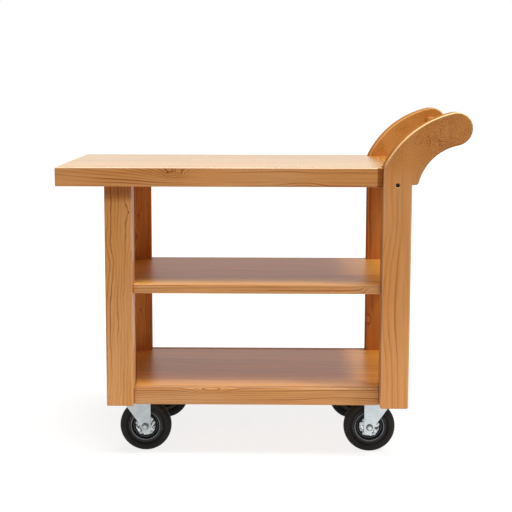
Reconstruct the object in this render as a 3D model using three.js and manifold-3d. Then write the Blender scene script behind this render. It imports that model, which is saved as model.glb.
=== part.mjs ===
// Rolling butcher block table. A thick glued-up top lies on two square legs at the left end and runs
// between two handle legs at the right end. Each handle leg is one board that rises past the top and
// sweeps out into a rounded wing, and a round bar joins the two wing tips. Below are a middle shelf,
// a framed bottom deck and four swivel casters.
// Units are millimetres. X runs along the table towards the handle, Y towards the back, Z up.
// The origin is on the floor, under the middle of the overall length and depth.
import * as THREE from 'three';
import { mergeVertices } from 'three/addons/utils/BufferGeometryUtils.js';
import Module from 'manifold-3d';

const wasm = await Module();
wasm.setup();

// ---------------------------------------------------------------- driving dimensions

const overallLength = 1160;      // left end of the top to the furthest point of the wings
const overallDepth = 652;        // over the outer faces of the handle legs
const glueLine = 0.15;           // between glued or butted wooden faces
const seatGap = 0.3;             // between a round piece and the bore that it sits in
const cutMargin = 1;             // cuts run this far past the faces that they open

const topHeight = 845;           // floor to the working face
const topThickness = 54;
const topOverhang = 136;         // past the outer faces of the left legs
const topSetback = 8;            // behind the faces of the handle legs
const topTongueThickness = 18;
const topTongueLength = 15;

const legWidth = 76;
const legDepth = 76;
const legSetback = 12;           // left legs behind the long edge of the top
const legStub = 40;              // side of the square stub tenon on a left leg
const legStubHeight = 25;

const handleLegWidth = 80;
const handleLegDepth = 76;
const wingRootDrop = 12;         // the wing leaves the leg this far below the working face
const wingRootRadius = 43.5;
const wingRootHeading = 62.7;    // headings are in degrees above the horizontal
const wingBackRadius = 282;
const wingBackHeading = 13.2;
const wingTipRadius = 43.5;
const wingUnderRadius = 49;
const wingUnderHeading = -168.6;
const wingPalmRadius = 138;
const wingPalmHeading = -104;
const wingHeelRadius = 10;

const barDiameter = 32;
const barSocketDepth = 30;

const edgeEase = 3;              // radius that the long edges are eased to
const endEaseShare = 0.6;        // chamfer round sawn ends, as a share of that radius

const railThickness = 26;        // end rails and shelf bearers
const railSetback = 2;           // behind the outer faces of the legs
const railHeight = 50;
const tenonLength = 25;
const tenonShoulder = 8;         // wood left round a tenon, above, below and beside it

const endRailThickness = 48;     // rail between the handle legs
const endRailHeight = 77;
const endRailInset = 16;         // from the inner faces of the handle legs

const shelfTop = 511;
const shelfThickness = 27;
const shelfSetback = 24;         // behind the faces of the left legs

const deckSetback = 20;          // behind the faces of the left legs
const deckThickness = 30;
const deckRailHeight = 49;
const deckRailThickness = 32;
const deckTongueThickness = 10;
const deckTongueLength = 10;

const boltDrop = 48;             // handle bolt below the working face
const boltDiameter = 6;
const boltHeadDiameter = 10;
const boltHeadHeight = 6;
const boltRecessDiameter = 12;
const boltRecessDepth = 14;
const boltReach = 35;            // barrel nut into the end rail
const boltTail = 8;              // thread past the barrel nut
const boltSocketAcross = 5;
const boltSocketDepth = 3;
const barrelDiameter = 10;
const barrelLength = 20;

const casterRailGap = 2;         // mounting plate to the deck rail beside it
const casterLegGap = 9;          // mounting plate to the inner faces of the left legs
const casterTrail = 34;          // axle behind the kingpin
const rearCasterInset = 26;      // rear kingpins further in than the front ones
const wheelDiameter = 152;
const tyreWidth = 38;
const treadRound = 9;            // tread to sidewall, each way
const treadBevel = 3;
const sidewallFoot = 8;          // where the sidewall turns in to the rim, each way
const sidewallTuck = 5;
const rimDiameter = 100;
const rimEdgeInset = 2;          // rim's edge behind the tyre's sidewall
const rimEdgeHeight = 4;
const rimWellDepth = 12;
const rimWellLand = 4;
const rimWebThickness = 12;
const dishStep = 2;              // radial run of the steps at the edge and the middle of a dish
const dishEdgeThickness = 22;
const dishMiddleThickness = 26;
const hubDiameter = 32;
const hubLength = 42;
const axleDiameter = 10;
const axleNutAcross = 16;
const axleNutHeight = 8;
const axleHeadHeight = 6.5;
const axleTail = 2;
const bushWall = 4;
const forkSheet = 3;
const forkInside = 48;           // clear width between the fork's cheeks
const forkBend = 8;              // outer radius of the bends
const crownClearance = 4.5;      // tyre to the underside of the crown
const cheekFront = 50;           // leading edge of a cheek, from the kingpin
const cheekBack = 36;            // trailing corner of the crown, from the kingpin
const cheekChamfer = 2;          // at that corner
const cheekWaist = 12;           // behind the lobe, where the slope steepens
const cheekWaistRise = 11;       // and above it
const lobeRadius = 12;
const lobeDrop = 11;             // middle of the lobe below the axle
const plateLength = 72;
const plateWidth = 70;
const plateThickness = 4;
const plateHoleDiameter = 8.5;
const plateHoleInset = 11;
const plateCornerRadius = 8;
const kingpinDiameter = 12;
const kingpinHeadDiameter = 22;
const kingpinHeadHeight = 4.5;
const kingpinHeadBevel = 3;
const raceMiddleDiameter = 48;
const raceWidth = 14;
const raceSection = 7.8;
const lowerRaceHeight = 3.5;     // lip of the lower race above the crown
const upperRaceHeight = 4.5;     // lip of the upper race below the plate
const cageHeight = 7.9;          // ring of balls between the two lips

const boreSegments = 12;
const holeSegments = 10;
const barSegments = 24;
const wheelSegments = 32;
const rimSegments = 20;
const bendSegments = 3;
const cornerSegments = 6;
const wingChord = 17;            // longest facet on the wing's outline
const backChord = 20;
const heelChord = 6;

// ---------------------------------------------------------------- places worked out from them

const rad = THREE.MathUtils.degToRad;
const crownUnder = wheelDiameter + crownClearance;
const crownTop = crownUnder + forkSheet;
const raceSpace = lowerRaceHeight + cageHeight + upperRaceHeight + 2 * seatGap;
const plateUnder = crownTop + raceSpace;
const casterHeight = plateUnder + plateThickness;    // floor to the underside of the deck
const underTop = topHeight - topThickness;
const deckTop = casterHeight + deckThickness;
const legBottom = deckTop - deckRailHeight;
const shelfUnder = shelfTop - shelfThickness;

// ---------------------------------------------------------------- materials

const pine = new THREE.MeshStandardMaterial({ color: 0xc08a56, roughness: 0.42, metalness: 0 });
const palePine = new THREE.MeshStandardMaterial({ color: 0xcc9a66, roughness: 0.4, metalness: 0 });
const zinc = new THREE.MeshStandardMaterial({ color: 0xc4cccf, roughness: 0.35, metalness: 0.9 });
const darkSteel = new THREE.MeshStandardMaterial({ color: 0x4a4642, roughness: 0.45, metalness: 0.8 });
const rubber = new THREE.MeshStandardMaterial({ color: 0x2b2a2a, roughness: 0.75, metalness: 0 });

// ---------------------------------------------------------------- joining and cutting

/** The closed solid of a geometry, with its shared corners merged and its slivers left out. */
function toSolid(geometry) {
  const bare = geometry.clone();
  bare.deleteAttribute('normal');
  bare.deleteAttribute('uv');
  const merged = mergeVertices(bare, 1e-4);
  const corners = merged.index.array;
  const kept = [];
  for (let i = 0; i < corners.length; i += 3) {
    const [a, b, c] = corners.slice(i, i + 3);
    if (a !== b && b !== c && c !== a) kept.push(a, b, c);
  }
  return new wasm.Manifold(new wasm.Mesh({
    numProp: 3,
    vertProperties: new Float32Array(merged.attributes.position.array),
    triVerts: new Uint32Array(kept),
  }));
}

/** A geometry that holds the vertices and triangles of a solid. */
function toGeometry(solid) {
  const mesh = solid.getMesh();
  const geometry = new THREE.BufferGeometry();
  geometry.setAttribute('position', new THREE.BufferAttribute(mesh.vertProperties, 3));
  geometry.setIndex(new THREE.BufferAttribute(mesh.triVerts, 1));
  geometry.computeVertexNormals();
  return geometry;
}

function combine(operation, base, others) {
  let solid = toSolid(base);
  for (const other of others) solid = solid[operation](toSolid(other));
  return toGeometry(solid);
}

const join = (base, ...others) => combine('add', base, others);
const cut = (base, ...others) => combine('subtract', base, others);
const clip = (base, ...others) => combine('intersect', base, others);

// ---------------------------------------------------------------- basic forms

/** A sharp-edged block between two corners. */
function block(low, high) {
  const size = high.map((value, i) => value - low[i]);
  const middle = high.map((value, i) => (value + low[i]) / 2);
  return new THREE.BoxGeometry(...size).translate(...middle);
}

/** The corners of a board, grown by a clearance on every side. */
function grown(low, high, by) {
  return [low.map((value) => value - by), high.map((value) => value + by)];
}

/** A rectangle with eased corners. */
function easedRectangle(width, height, radius, steps = 2) {
  const points = [];
  for (const [x, y, quarter] of [[1, -1, -1], [1, 1, 0], [-1, 1, 1], [-1, -1, 2]]) {
    for (let i = 0; i <= steps; i += 1) {
      const at = (quarter + i / steps) * Math.PI / 2;
      points.push(new THREE.Vector2(
        x * (width / 2 - radius) + radius * Math.cos(at),
        y * (height / 2 - radius) + radius * Math.sin(at),
      ));
    }
  }
  return new THREE.Shape(points);
}

/** A sawn board between two corners, with its long edges and its ends eased. */
function board(low, high, along, ease = edgeEase) {
  const size = high.map((value, i) => value - low[i]);
  const middle = high.map((value, i) => (value + low[i]) / 2);
  const length = { x: 0, y: 1, z: 2 }[along];
  const across = size[(length + 1) % 3];
  const up = size[(length + 2) % 3];
  const endEase = ease * endEaseShare;
  const geometry = new THREE.ExtrudeGeometry(easedRectangle(across, up, ease), {
    depth: size[length] - 2 * endEase,
    bevelThickness: endEase,
    bevelSize: endEase,
    bevelOffset: -endEase,
    bevelSegments: 1,
  });
  geometry.translate(0, 0, endEase - size[length] / 2);
  const axis = (place) => new THREE.Vector3().setComponent(place % 3, 1);
  const turn = new THREE.Matrix4().makeBasis(axis(length + 1), axis(length + 2), axis(length));
  return geometry.applyMatrix4(turn).translate(...middle);
}

/** A round rod along Y, between two stations. */
function rod(radius, x, z, from, to, segments = boreSegments) {
  const geometry = new THREE.CylinderGeometry(radius, radius, Math.abs(to - from), segments);
  return geometry.translate(x, (from + to) / 2, z);
}

/** A round rod along Z, between two heights. */
function post(radius, x, y, from, to, segments = boreSegments) {
  const geometry = new THREE.CylinderGeometry(radius, radius, Math.abs(to - from), segments);
  return geometry.rotateX(Math.PI / 2).translate(x, y, (from + to) / 2);
}

/** A profile of [radius, station] points turned about Z. */
function turnedUpright(points, segments = boreSegments) {
  const profile = points.map(([radius, station]) => new THREE.Vector2(radius, station));
  return new THREE.LatheGeometry(profile, segments).rotateX(Math.PI / 2);
}

/** An upright outline in X and Z, given a thickness along Y from one station to another. */
function upright(shape, from, to, ease = 0) {
  const geometry = new THREE.ExtrudeGeometry(shape, {
    depth: to - from - 2 * ease,
    bevelEnabled: ease > 0,
    bevelThickness: ease,
    bevelSize: ease,
    bevelOffset: -ease,
    bevelSegments: 1,
    curveSegments: cornerSegments,
  });
  return geometry.rotateX(Math.PI / 2).translate(0, to - ease, 0);
}

/** Walks an outline as straight runs and arcs, each arc tangent to the one before it. */
class Outline {
  constructor(x, z, heading) {
    this.points = [new THREE.Vector2(x, z)];
    this.heading = heading;
  }

  get last() {
    return this.points[this.points.length - 1];
  }

  /** Turns to a new heading round an arc: to the right when the heading falls, else to the left. */
  arc(radius, heading, chord = wingChord) {
    const start = this.last.clone();
    const side = heading < this.heading ? 1 : -1;
    const sweep = rad(heading - this.heading);
    const steps = Math.max(3, Math.ceil(Math.abs(sweep) * radius / chord));
    const first = rad(this.heading);
    for (let i = 1; i <= steps; i += 1) {
      const at = first + sweep * i / steps;
      const x = start.x + side * radius * (Math.sin(first) - Math.sin(at));
      const z = start.y + side * radius * (Math.cos(at) - Math.cos(first));
      this.points.push(new THREE.Vector2(x, z));
    }
    this.heading = heading;
    return this;
  }

  to(x, z) {
    this.points.push(new THREE.Vector2(x, z));
    return this;
  }

  shape() {
    return new THREE.Shape(this.points);
  }
}

// ---------------------------------------------------------------- layout

/** The wing's outline from its root on the leg's inner face to its heel, about (0, 0) at that face. */
function wingWalk() {
  return new Outline(0, -wingRootDrop, 90)
    .arc(wingRootRadius, wingRootHeading)
    .arc(wingBackRadius, wingBackHeading, backChord)
    .arc(wingTipRadius, -90)
    .arc(wingUnderRadius, wingUnderHeading)
    .arc(wingPalmRadius, wingPalmHeading)
    .arc(wingHeelRadius, -180, heelChord);
}

/** The wing's furthest point from the leg's inner face, and the middle of its tip. */
function wingTip() {
  const walk = new Outline(0, -wingRootDrop, 90)
    .arc(wingRootRadius, wingRootHeading)
    .arc(wingBackRadius, wingBackHeading, backChord)
    .arc(wingTipRadius, -90);
  return { reach: walk.last.x, barX: walk.last.x - wingUnderRadius, barZ: walk.last.y };
}

const tip = wingTip();
const leftEnd = -overallLength / 2;
const legOuterX = leftEnd + topOverhang;
const legInnerX = legOuterX + legWidth;
const handleInnerX = overallLength / 2 - tip.reach;
const handleOuterX = handleInnerX + handleLegWidth;

const handleFaceY = overallDepth / 2;
const handleBackY = handleFaceY - handleLegDepth;
const topEdgeY = handleFaceY - topSetback;
const legFaceY = topEdgeY - legSetback;
const legBackY = legFaceY - legDepth;
const shelfEdgeY = legFaceY - shelfSetback;
const deckEdgeY = legFaceY - deckSetback;

const endRailX = handleInnerX + endRailInset;
const boltX = endRailX + endRailThickness / 2;
const boltZ = topHeight - boltDrop;

const leftRailX = legOuterX + railSetback;
const rightRailX = handleOuterX - railSetback - railThickness;

const table = new THREE.Group();

/** Adds a named piece to a group. */
function piece(group, name, geometry, material) {
  const mesh = new THREE.Mesh(geometry, material);
  mesh.name = name;
  group.add(mesh);
  return mesh;
}

// ---------------------------------------------------------------- rails and their tenons

/** Corners of a rail that runs along Y between two legs, with its top at a given height. */
function crossRail(x, thickness, faceY, top, height) {
  return {
    low: [x, -faceY + glueLine, top - height],
    high: [x + thickness, faceY - glueLine, top],
  };
}

/** Corners of a deck rail that runs along X between the legs of one side, -1 front or 1 rear. */
function deckRail(side) {
  const near = side * deckEdgeY;
  const far = side * (deckEdgeY - deckRailThickness);
  return {
    low: [legInnerX + glueLine, Math.min(near, far), legBottom],
    high: [handleInnerX - glueLine, Math.max(near, far), deckTop],
  };
}

/** The tenons at both ends of a rail, as corners, with the wood of the shoulders left round them. */
function tenons(rail, axis) {
  const low = rail.low.map((value) => value + tenonShoulder);
  const high = rail.high.map((value) => value - tenonShoulder);
  const first = { low: [...low], high: [...high] };
  const second = { low: [...low], high: [...high] };
  first.low[axis] = rail.low[axis] - tenonLength;
  first.high[axis] = rail.low[axis] + tenonShoulder;
  second.low[axis] = rail.high[axis] - tenonShoulder;
  second.high[axis] = rail.high[axis] + tenonLength;
  return [first, second];
}

/** A rail with its two tenons on it. */
function tenoned(part, rail, axis) {
  return join(part, ...tenons(rail, axis).map(({ low, high }) => block(low, high)));
}

/** The cuts that a rail's two tenons sit in. */
function mortises(rail, axis) {
  return tenons(rail, axis).map(({ low, high }) => block(...grown(low, high, glueLine)));
}

const upperRail = crossRail(leftRailX, railThickness, legBackY, underTop - glueLine, railHeight);
const leftBearer = crossRail(leftRailX, railThickness, legBackY, shelfUnder - glueLine, railHeight);
const rightBearer = crossRail(rightRailX, railThickness, handleBackY, shelfUnder - glueLine, railHeight);
const leftDeckRail = crossRail(leftRailX, railThickness, legBackY, deckTop, deckRailHeight);
const rightDeckRail = crossRail(rightRailX, railThickness, handleBackY, deckTop, deckRailHeight);
const frontDeckRail = deckRail(-1);
const rearDeckRail = deckRail(1);

const allMortises = [
  ...[upperRail, leftBearer, rightBearer, leftDeckRail, rightDeckRail].flatMap((rail) => mortises(rail, 1)),
  ...[frontDeckRail, rearDeckRail].flatMap((rail) => mortises(rail, 0)),
];

// ---------------------------------------------------------------- deck

const deckZ = casterHeight;
const deckInner = {
  low: [leftRailX + railThickness + glueLine, -(deckEdgeY - deckRailThickness) + glueLine, deckZ],
  high: [rightRailX - glueLine, deckEdgeY - deckRailThickness - glueLine, deckTop],
};

/** Blocks that clear the legs out of a shelf or a deck, from one height to another. */
function legClearances(from, to) {
  const reach = overallLength;
  const clearances = [];
  for (const side of [-1, 1]) {
    const left = [side * (legBackY - glueLine), side * reach];
    const right = [side * (handleBackY - glueLine), side * reach];
    clearances.push(block(
      [-reach, Math.min(...left), from],
      [legInnerX + glueLine, Math.max(...left), to],
    ));
    clearances.push(block(
      [handleInnerX - glueLine, Math.min(...right), from],
      [reach, Math.max(...right), to],
    ));
  }
  return clearances;
}

const tongueLow = deckZ + (deckThickness - deckTongueThickness) / 2;
const deckTongue = {
  low: [deckInner.low[0] - deckTongueLength, deckInner.low[1] - deckTongueLength, tongueLow],
  high: [
    deckInner.high[0] + deckTongueLength,
    deckInner.high[1] + deckTongueLength,
    tongueLow + deckTongueThickness,
  ],
};
const deckBoard = block(deckInner.low, deckInner.high);
const deckGroove = block(...grown(deckTongue.low, deckTongue.high, glueLine));
const deck = cut(
  join(deckBoard, block(deckTongue.low, deckTongue.high)),
  ...legClearances(deckZ - cutMargin, deckTop + cutMargin),
);

piece(table, 'bottom_deck', deck, palePine);
for (const [name, rail] of [['front_deck_rail', frontDeckRail], ['rear_deck_rail', rearDeckRail]]) {
  const plain = tenoned(board(rail.low, rail.high, 'x'), rail, 0);
  piece(table, name, cut(plain, deckGroove), palePine);
}
for (const [name, rail] of [['left_deck_rail', leftDeckRail], ['right_deck_rail', rightDeckRail]]) {
  const plain = tenoned(board(rail.low, rail.high, 'y'), rail, 1);
  piece(table, name, cut(plain, deckGroove), palePine);
}

// ---------------------------------------------------------------- middle shelf and end rails

const shelfBoard = board(
  [leftRailX, -shelfEdgeY, shelfUnder],
  [rightRailX + railThickness, shelfEdgeY, shelfTop],
  'x',
);
const shelfNotches = legClearances(shelfUnder - cutMargin, shelfTop + cutMargin);
piece(table, 'middle_shelf', cut(shelfBoard, ...shelfNotches), palePine);

for (const [name, rail] of [
  ['left_shelf_bearer', leftBearer],
  ['right_shelf_bearer', rightBearer],
  ['upper_end_rail', upperRail],
]) {
  piece(table, name, tenoned(board(rail.low, rail.high, 'y'), rail, 1), pine);
}

// ---------------------------------------------------------------- top and handle end rail

const topTongueLow = topHeight - (topThickness + topTongueThickness) / 2;
const topTongue = {
  low: [endRailX - glueLine, -handleBackY + endRailInset, topTongueLow],
  high: [
    endRailX + topTongueLength,
    handleBackY - endRailInset,
    topTongueLow + topTongueThickness,
  ],
};

const legMiddleX = (legOuterX + legInnerX) / 2;
const legMiddleY = legFaceY - legDepth / 2;

/** Corners of the stub tenon on top of a left leg, -1 front or 1 rear. */
function stub(side) {
  const half = legStub / 2;
  return {
    low: [legMiddleX - half, side * legMiddleY - half, underTop - edgeEase],
    high: [legMiddleX + half, side * legMiddleY + half, underTop + legStubHeight],
  };
}

const topBoard = board(
  [leftEnd, -topEdgeY, underTop],
  [endRailX - glueLine, topEdgeY, topHeight],
  'x',
);
const handleNotches = [-1, 1].map((side) => {
  const inner = side * (handleBackY - glueLine);
  const outer = side * overallDepth;
  return block(
    [handleInnerX - glueLine, Math.min(inner, outer), underTop - cutMargin],
    [handleOuterX, Math.max(inner, outer), topHeight + cutMargin],
  );
});
const stubMortises = [-1, 1].map((side) => block(...grown(stub(side).low, stub(side).high, glueLine)));
const top = cut(
  join(topBoard, block([topTongue.low[0] - edgeEase, ...topTongue.low.slice(1)], topTongue.high)),
  ...handleNotches,
  ...stubMortises,
);
piece(table, 'butcher_block_top', top, palePine);

const endRail = {
  low: [endRailX, -handleBackY + glueLine, topHeight - endRailHeight],
  high: [endRailX + endRailThickness, handleBackY - glueLine, topHeight],
};
const barrelY = handleBackY - boltReach;
const boreRadius = boltDiameter / 2 + seatGap;
const barrelTop = boltZ + barrelLength / 2;
const endRailCuts = [block(...grown(topTongue.low, topTongue.high, glueLine))];
for (const side of [-1, 1]) {
  endRailCuts.push(rod(
    boreRadius, boltX, boltZ,
    side * (handleBackY + cutMargin), side * (barrelY - boltTail - cutMargin),
  ));
  endRailCuts.push(post(
    barrelDiameter / 2 + seatGap, boltX, side * barrelY,
    endRail.low[2] - cutMargin, barrelTop + seatGap,
  ));
}
piece(table, 'handle_end_rail', cut(board(endRail.low, endRail.high, 'y'), ...endRailCuts), pine);

// ---------------------------------------------------------------- legs

for (const [name, side] of [['front_left_leg', -1], ['rear_left_leg', 1]]) {
  const faces = [side * legFaceY, side * legBackY];
  const plain = board(
    [legOuterX, Math.min(...faces), legBottom],
    [legInnerX, Math.max(...faces), underTop - glueLine],
    'z',
  );
  piece(table, name, cut(join(plain, block(stub(side).low, stub(side).high)), ...allMortises), pine);
}

/** The handle leg's outline: a straight leg with its wing, in the table's own X and Z. */
function handleLegShape() {
  const wing = wingWalk().points.map((at) => new THREE.Vector2(at.x + handleInnerX, at.y + topHeight));
  const heel = wing[wing.length - 1];
  return new THREE.Shape([
    new THREE.Vector2(handleOuterX, heel.y),
    new THREE.Vector2(handleOuterX, legBottom),
    new THREE.Vector2(handleInnerX, legBottom),
    ...wing,
  ]);
}

const barX = handleInnerX + tip.barX;
const barZ = topHeight + tip.barZ;
const barEnd = handleBackY + barSocketDepth;

for (const [name, side] of [['front_handle_leg', -1], ['rear_handle_leg', 1]]) {
  const faces = [side * handleFaceY, side * handleBackY];
  const plain = upright(handleLegShape(), Math.min(...faces), Math.max(...faces), edgeEase);
  const socket = rod(
    barDiameter / 2 + seatGap, barX, barZ,
    side * (handleBackY - cutMargin), side * barEnd, barSegments,
  );
  const boltBore = rod(
    boreRadius, boltX, boltZ,
    side * (handleBackY - cutMargin), side * (handleFaceY - cutMargin),
  );
  const recess = rod(
    boltRecessDiameter / 2, boltX, boltZ,
    side * (handleFaceY - boltRecessDepth), side * (handleFaceY + cutMargin),
  );
  piece(table, name, cut(plain, socket, boltBore, recess, ...allMortises), pine);
}

const bar = rod(barDiameter / 2, barX, barZ, -barEnd + seatGap, barEnd - seatGap, barSegments);
piece(table, 'handle_bar', bar, palePine);

// ---------------------------------------------------------------- handle bolts

for (const [place, side] of [['front', -1], ['rear', 1]]) {
  const seatY = handleFaceY - boltRecessDepth + seatGap;
  const head = rod(boltHeadDiameter / 2, boltX, boltZ, side * seatY, side * (seatY + boltHeadHeight));
  const shank = rod(
    boltDiameter / 2, boltX, boltZ,
    side * (barrelY - boltTail), side * (seatY + cutMargin),
  );
  const headEnd = seatY + boltHeadHeight;
  const socket = rod(
    boltSocketAcross / Math.sqrt(3), boltX, boltZ,
    side * (headEnd - boltSocketDepth), side * (headEnd + cutMargin), 6,
  );
  piece(table, `${place}_handle_bolt`, cut(join(head, shank), socket), darkSteel);

  const barrel = post(barrelDiameter / 2, boltX, side * barrelY, barrelTop - barrelLength, barrelTop);
  const thread = rod(
    boreRadius, boltX, boltZ,
    side * (barrelY - barrelLength), side * (barrelY + barrelLength),
  );
  piece(table, `${place}_barrel_nut`, cut(barrel, thread), darkSteel);
}

// ---------------------------------------------------------------- casters

const wheelRadius = wheelDiameter / 2;
const cheekOuter = forkInside / 2 + forkSheet;
const raceInner = (raceMiddleDiameter - raceWidth) / 2;
const raceOuter = (raceMiddleDiameter + raceWidth) / 2;

/** A flat ring about Z with a square section. */
function ring(inner, outer, from, to, segments = boreSegments) {
  return turnedUpright([[inner, from], [outer, from], [outer, to], [inner, to], [inner, from]], segments);
}

/** Mounting plate with four holes and the upper race pressed below it. */
function plateForm() {
  const outline = easedRectangle(plateLength, plateWidth, plateCornerRadius);
  const flat = new THREE.ExtrudeGeometry(outline, {
    depth: plateThickness,
    bevelEnabled: false,
  }).translate(0, 0, plateUnder);
  const holes = [];
  for (const x of [-1, 1]) {
    for (const y of [-1, 1]) {
      const holeX = x * (plateLength / 2 - plateHoleInset);
      const holeY = y * (plateWidth / 2 - plateHoleInset);
      holes.push(post(
        plateHoleDiameter / 2, holeX, holeY,
        plateUnder - cutMargin, casterHeight + cutMargin, holeSegments,
      ));
    }
  }
  const bore = kingpinDiameter / 2 + seatGap;
  const countersink = turnedUpright([
    [0, plateUnder - cutMargin],
    [bore, plateUnder - cutMargin],
    [bore, plateUnder],
    [bore + plateThickness, casterHeight],
    [bore + plateThickness, casterHeight + cutMargin],
    [0, casterHeight + cutMargin],
  ]);
  const race = ring(raceInner, raceOuter, plateUnder - upperRaceHeight, plateUnder + cutMargin);
  return cut(join(flat, race), countersink, ...holes);
}

/** Kingpin: a countersunk rivet through the plate, the race and the fork's crown. */
function kingpinForm() {
  const r = kingpinDiameter / 2;
  const headRadius = kingpinHeadDiameter / 2;
  const headTop = crownUnder - seatGap;
  return turnedUpright([
    [0, headTop - kingpinHeadHeight],
    [headRadius - kingpinHeadBevel, headTop - kingpinHeadHeight],
    [headRadius, headTop - kingpinHeadHeight / 2],
    [headRadius, headTop],
    [r, headTop],
    [r, plateUnder],
    [r + plateThickness - seatGap, casterHeight - seatGap],
    [0, casterHeight - seatGap],
  ]);
}

/** The ring of balls in its cage, between the two races. */
function raceForm() {
  const middle = crownTop + lowerRaceHeight + seatGap + cageHeight / 2;
  const r = raceMiddleDiameter / 2;
  const h = cageHeight / 2;
  const w = raceSection / 2;
  return turnedUpright([
    [r - w / 2, middle - h],
    [r + w / 2, middle - h],
    [r + w, middle],
    [r + w / 2, middle + h],
    [r - w / 2, middle + h],
    [r - w, middle],
    [r - w / 2, middle - h],
  ]);
}

/** Side outline of the fork: a sloped cheek that ends in a round lobe at the axle. */
function cheekShape() {
  const lobeX = cheekFront - lobeRadius;
  const lobeZ = wheelRadius - lobeDrop;
  const waistX = -lobeRadius - cheekWaist;
  const waistZ = lobeRadius + cheekWaistRise;
  const tangent = Math.atan2(waistZ, waistX)
    + Math.acos(lobeRadius / Math.hypot(waistX, waistZ));
  const shape = new THREE.Shape();
  shape.moveTo(cheekFront, crownTop);
  shape.lineTo(-cheekBack + cheekChamfer, crownTop);
  shape.lineTo(-cheekBack, crownTop - cheekChamfer);
  shape.lineTo(lobeX + waistX, lobeZ + waistZ);
  shape.absarc(lobeX, lobeZ, lobeRadius, tangent, 2 * Math.PI, false);
  return shape;
}

/** Section of the fork: a channel that opens downwards, with bent corners. */
function channelShape() {
  const inner = forkInside / 2;
  const bendInside = forkBend - forkSheet;
  const foot = wheelRadius - lobeDrop - lobeRadius - cutMargin;
  const shape = new THREE.Shape();
  shape.moveTo(-cheekOuter, foot);
  shape.lineTo(-inner, foot);
  shape.absarc(-inner + bendInside, crownUnder - bendInside, bendInside, Math.PI, Math.PI / 2, true);
  shape.absarc(inner - bendInside, crownUnder - bendInside, bendInside, Math.PI / 2, 0, true);
  shape.lineTo(inner, foot);
  shape.lineTo(cheekOuter, foot);
  shape.absarc(cheekOuter - forkBend, crownTop - forkBend, forkBend, 0, Math.PI / 2, false);
  shape.absarc(-cheekOuter + forkBend, crownTop - forkBend, forkBend, Math.PI / 2, Math.PI, false);
  return shape;
}

/** Fork: one bent sheet with the lower race on its crown. */
function forkForm() {
  const length = cheekFront + cheekBack + 2 * cutMargin;
  const channel = new THREE.ExtrudeGeometry(channelShape(), {
    depth: length,
    bevelEnabled: false,
    curveSegments: bendSegments,
  });
  channel.rotateX(Math.PI / 2).rotateZ(Math.PI / 2).translate(-cheekBack - cutMargin, 0, 0);
  const cheeks = upright(cheekShape(), -cheekOuter - cutMargin, cheekOuter + cutMargin);
  const raceTop = crownTop + lowerRaceHeight;
  const race = ring(raceInner, raceOuter, crownTop - forkSheet / 2, raceTop);
  const axleBore = rod(
    axleDiameter / 2 + seatGap, casterTrail, wheelRadius,
    -cheekOuter - cutMargin, cheekOuter + cutMargin,
  );
  const pinBore = post(
    kingpinDiameter / 2 + seatGap, 0, 0,
    crownUnder - cutMargin, raceTop + cutMargin,
  );
  return cut(join(clip(channel, cheeks), race), axleBore, pinBore);
}

/** A hexagonal prism along Y. */
function hexPrism(across, from, to) {
  return rod(across / Math.sqrt(3), casterTrail, wheelRadius, from, to, 6);
}

/** Axle bolt: its head on one cheek and its thread past the nut on the other. */
function axleBoltForm(nutSide) {
  const outer = cheekOuter + seatGap;
  const nutEnd = outer + axleNutHeight + axleTail;
  const shank = rod(
    axleDiameter / 2, casterTrail, wheelRadius,
    nutSide * nutEnd, -nutSide * (outer + cutMargin),
  );
  return join(shank, hexPrism(axleNutAcross, -nutSide * outer, -nutSide * (outer + axleHeadHeight)));
}

function axleNutForm(nutSide) {
  const outer = cheekOuter + seatGap;
  const nut = hexPrism(axleNutAcross, nutSide * outer, nutSide * (outer + axleNutHeight));
  const bore = rod(
    axleDiameter / 2 + seatGap, casterTrail, wheelRadius,
    nutSide * (outer - cutMargin), nutSide * (outer + axleNutHeight + cutMargin),
  );
  return cut(nut, bore);
}

/** A closed profile of [radius, station] points, mirrored about the wheel's middle and turned about Y. */
function wheelTurned(half, segments, grow = 1) {
  const mirrored = half.map(([radius, station]) => [radius, -station]).reverse();
  const loop = [...mirrored, ...half, mirrored[0]];
  const profile = loop.map(([radius, station]) => new THREE.Vector2(radius * grow, station));
  const geometry = new THREE.LatheGeometry(profile, segments, Math.PI / segments);
  return geometry.translate(casterTrail, 0, wheelRadius);
}

/** Bush that the wheel turns on, between the cheeks. */
function bushForm() {
  const inner = axleDiameter / 2 + seatGap;
  const half = forkInside / 2 - seatGap;
  return wheelTurned([[inner + bushWall, half], [inner, half]], boreSegments);
}

/** Pressed steel rim: a hub, two dished discs and a turned-out bead seat. */
function rimForm() {
  const bore = axleDiameter / 2 + bushWall + 2 * seatGap;
  const hub = hubDiameter / 2;
  const seat = rimDiameter / 2;
  const half = hubLength / 2;
  const well = seat - rimWellDepth;
  return wheelTurned([
    [seat, tyreWidth / 2 - rimEdgeInset],
    [seat - rimEdgeHeight, tyreWidth / 2 - rimEdgeInset],
    [well, rimWebThickness / 2],
    [well - rimWellLand, rimWebThickness / 2],
    [well - rimWellLand - dishStep, dishEdgeThickness / 2],
    [hub + dishStep, dishMiddleThickness / 2],
    [hub, half],
    [bore, half],
  ], rimSegments);
}

/** Tyre: a solid rubber ring whose facets are as far from the axle as the real tread. */
function tyreForm() {
  const seat = rimDiameter / 2 + seatGap;
  const half = tyreWidth / 2;
  return wheelTurned([
    [wheelRadius, half - treadRound],
    [wheelRadius - treadBevel, half - treadBevel],
    [wheelRadius - treadRound, half],
    [seat + sidewallFoot, half],
    [seat, half - sidewallTuck],
  ], wheelSegments, 1 / Math.cos(Math.PI / wheelSegments));
}

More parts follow.
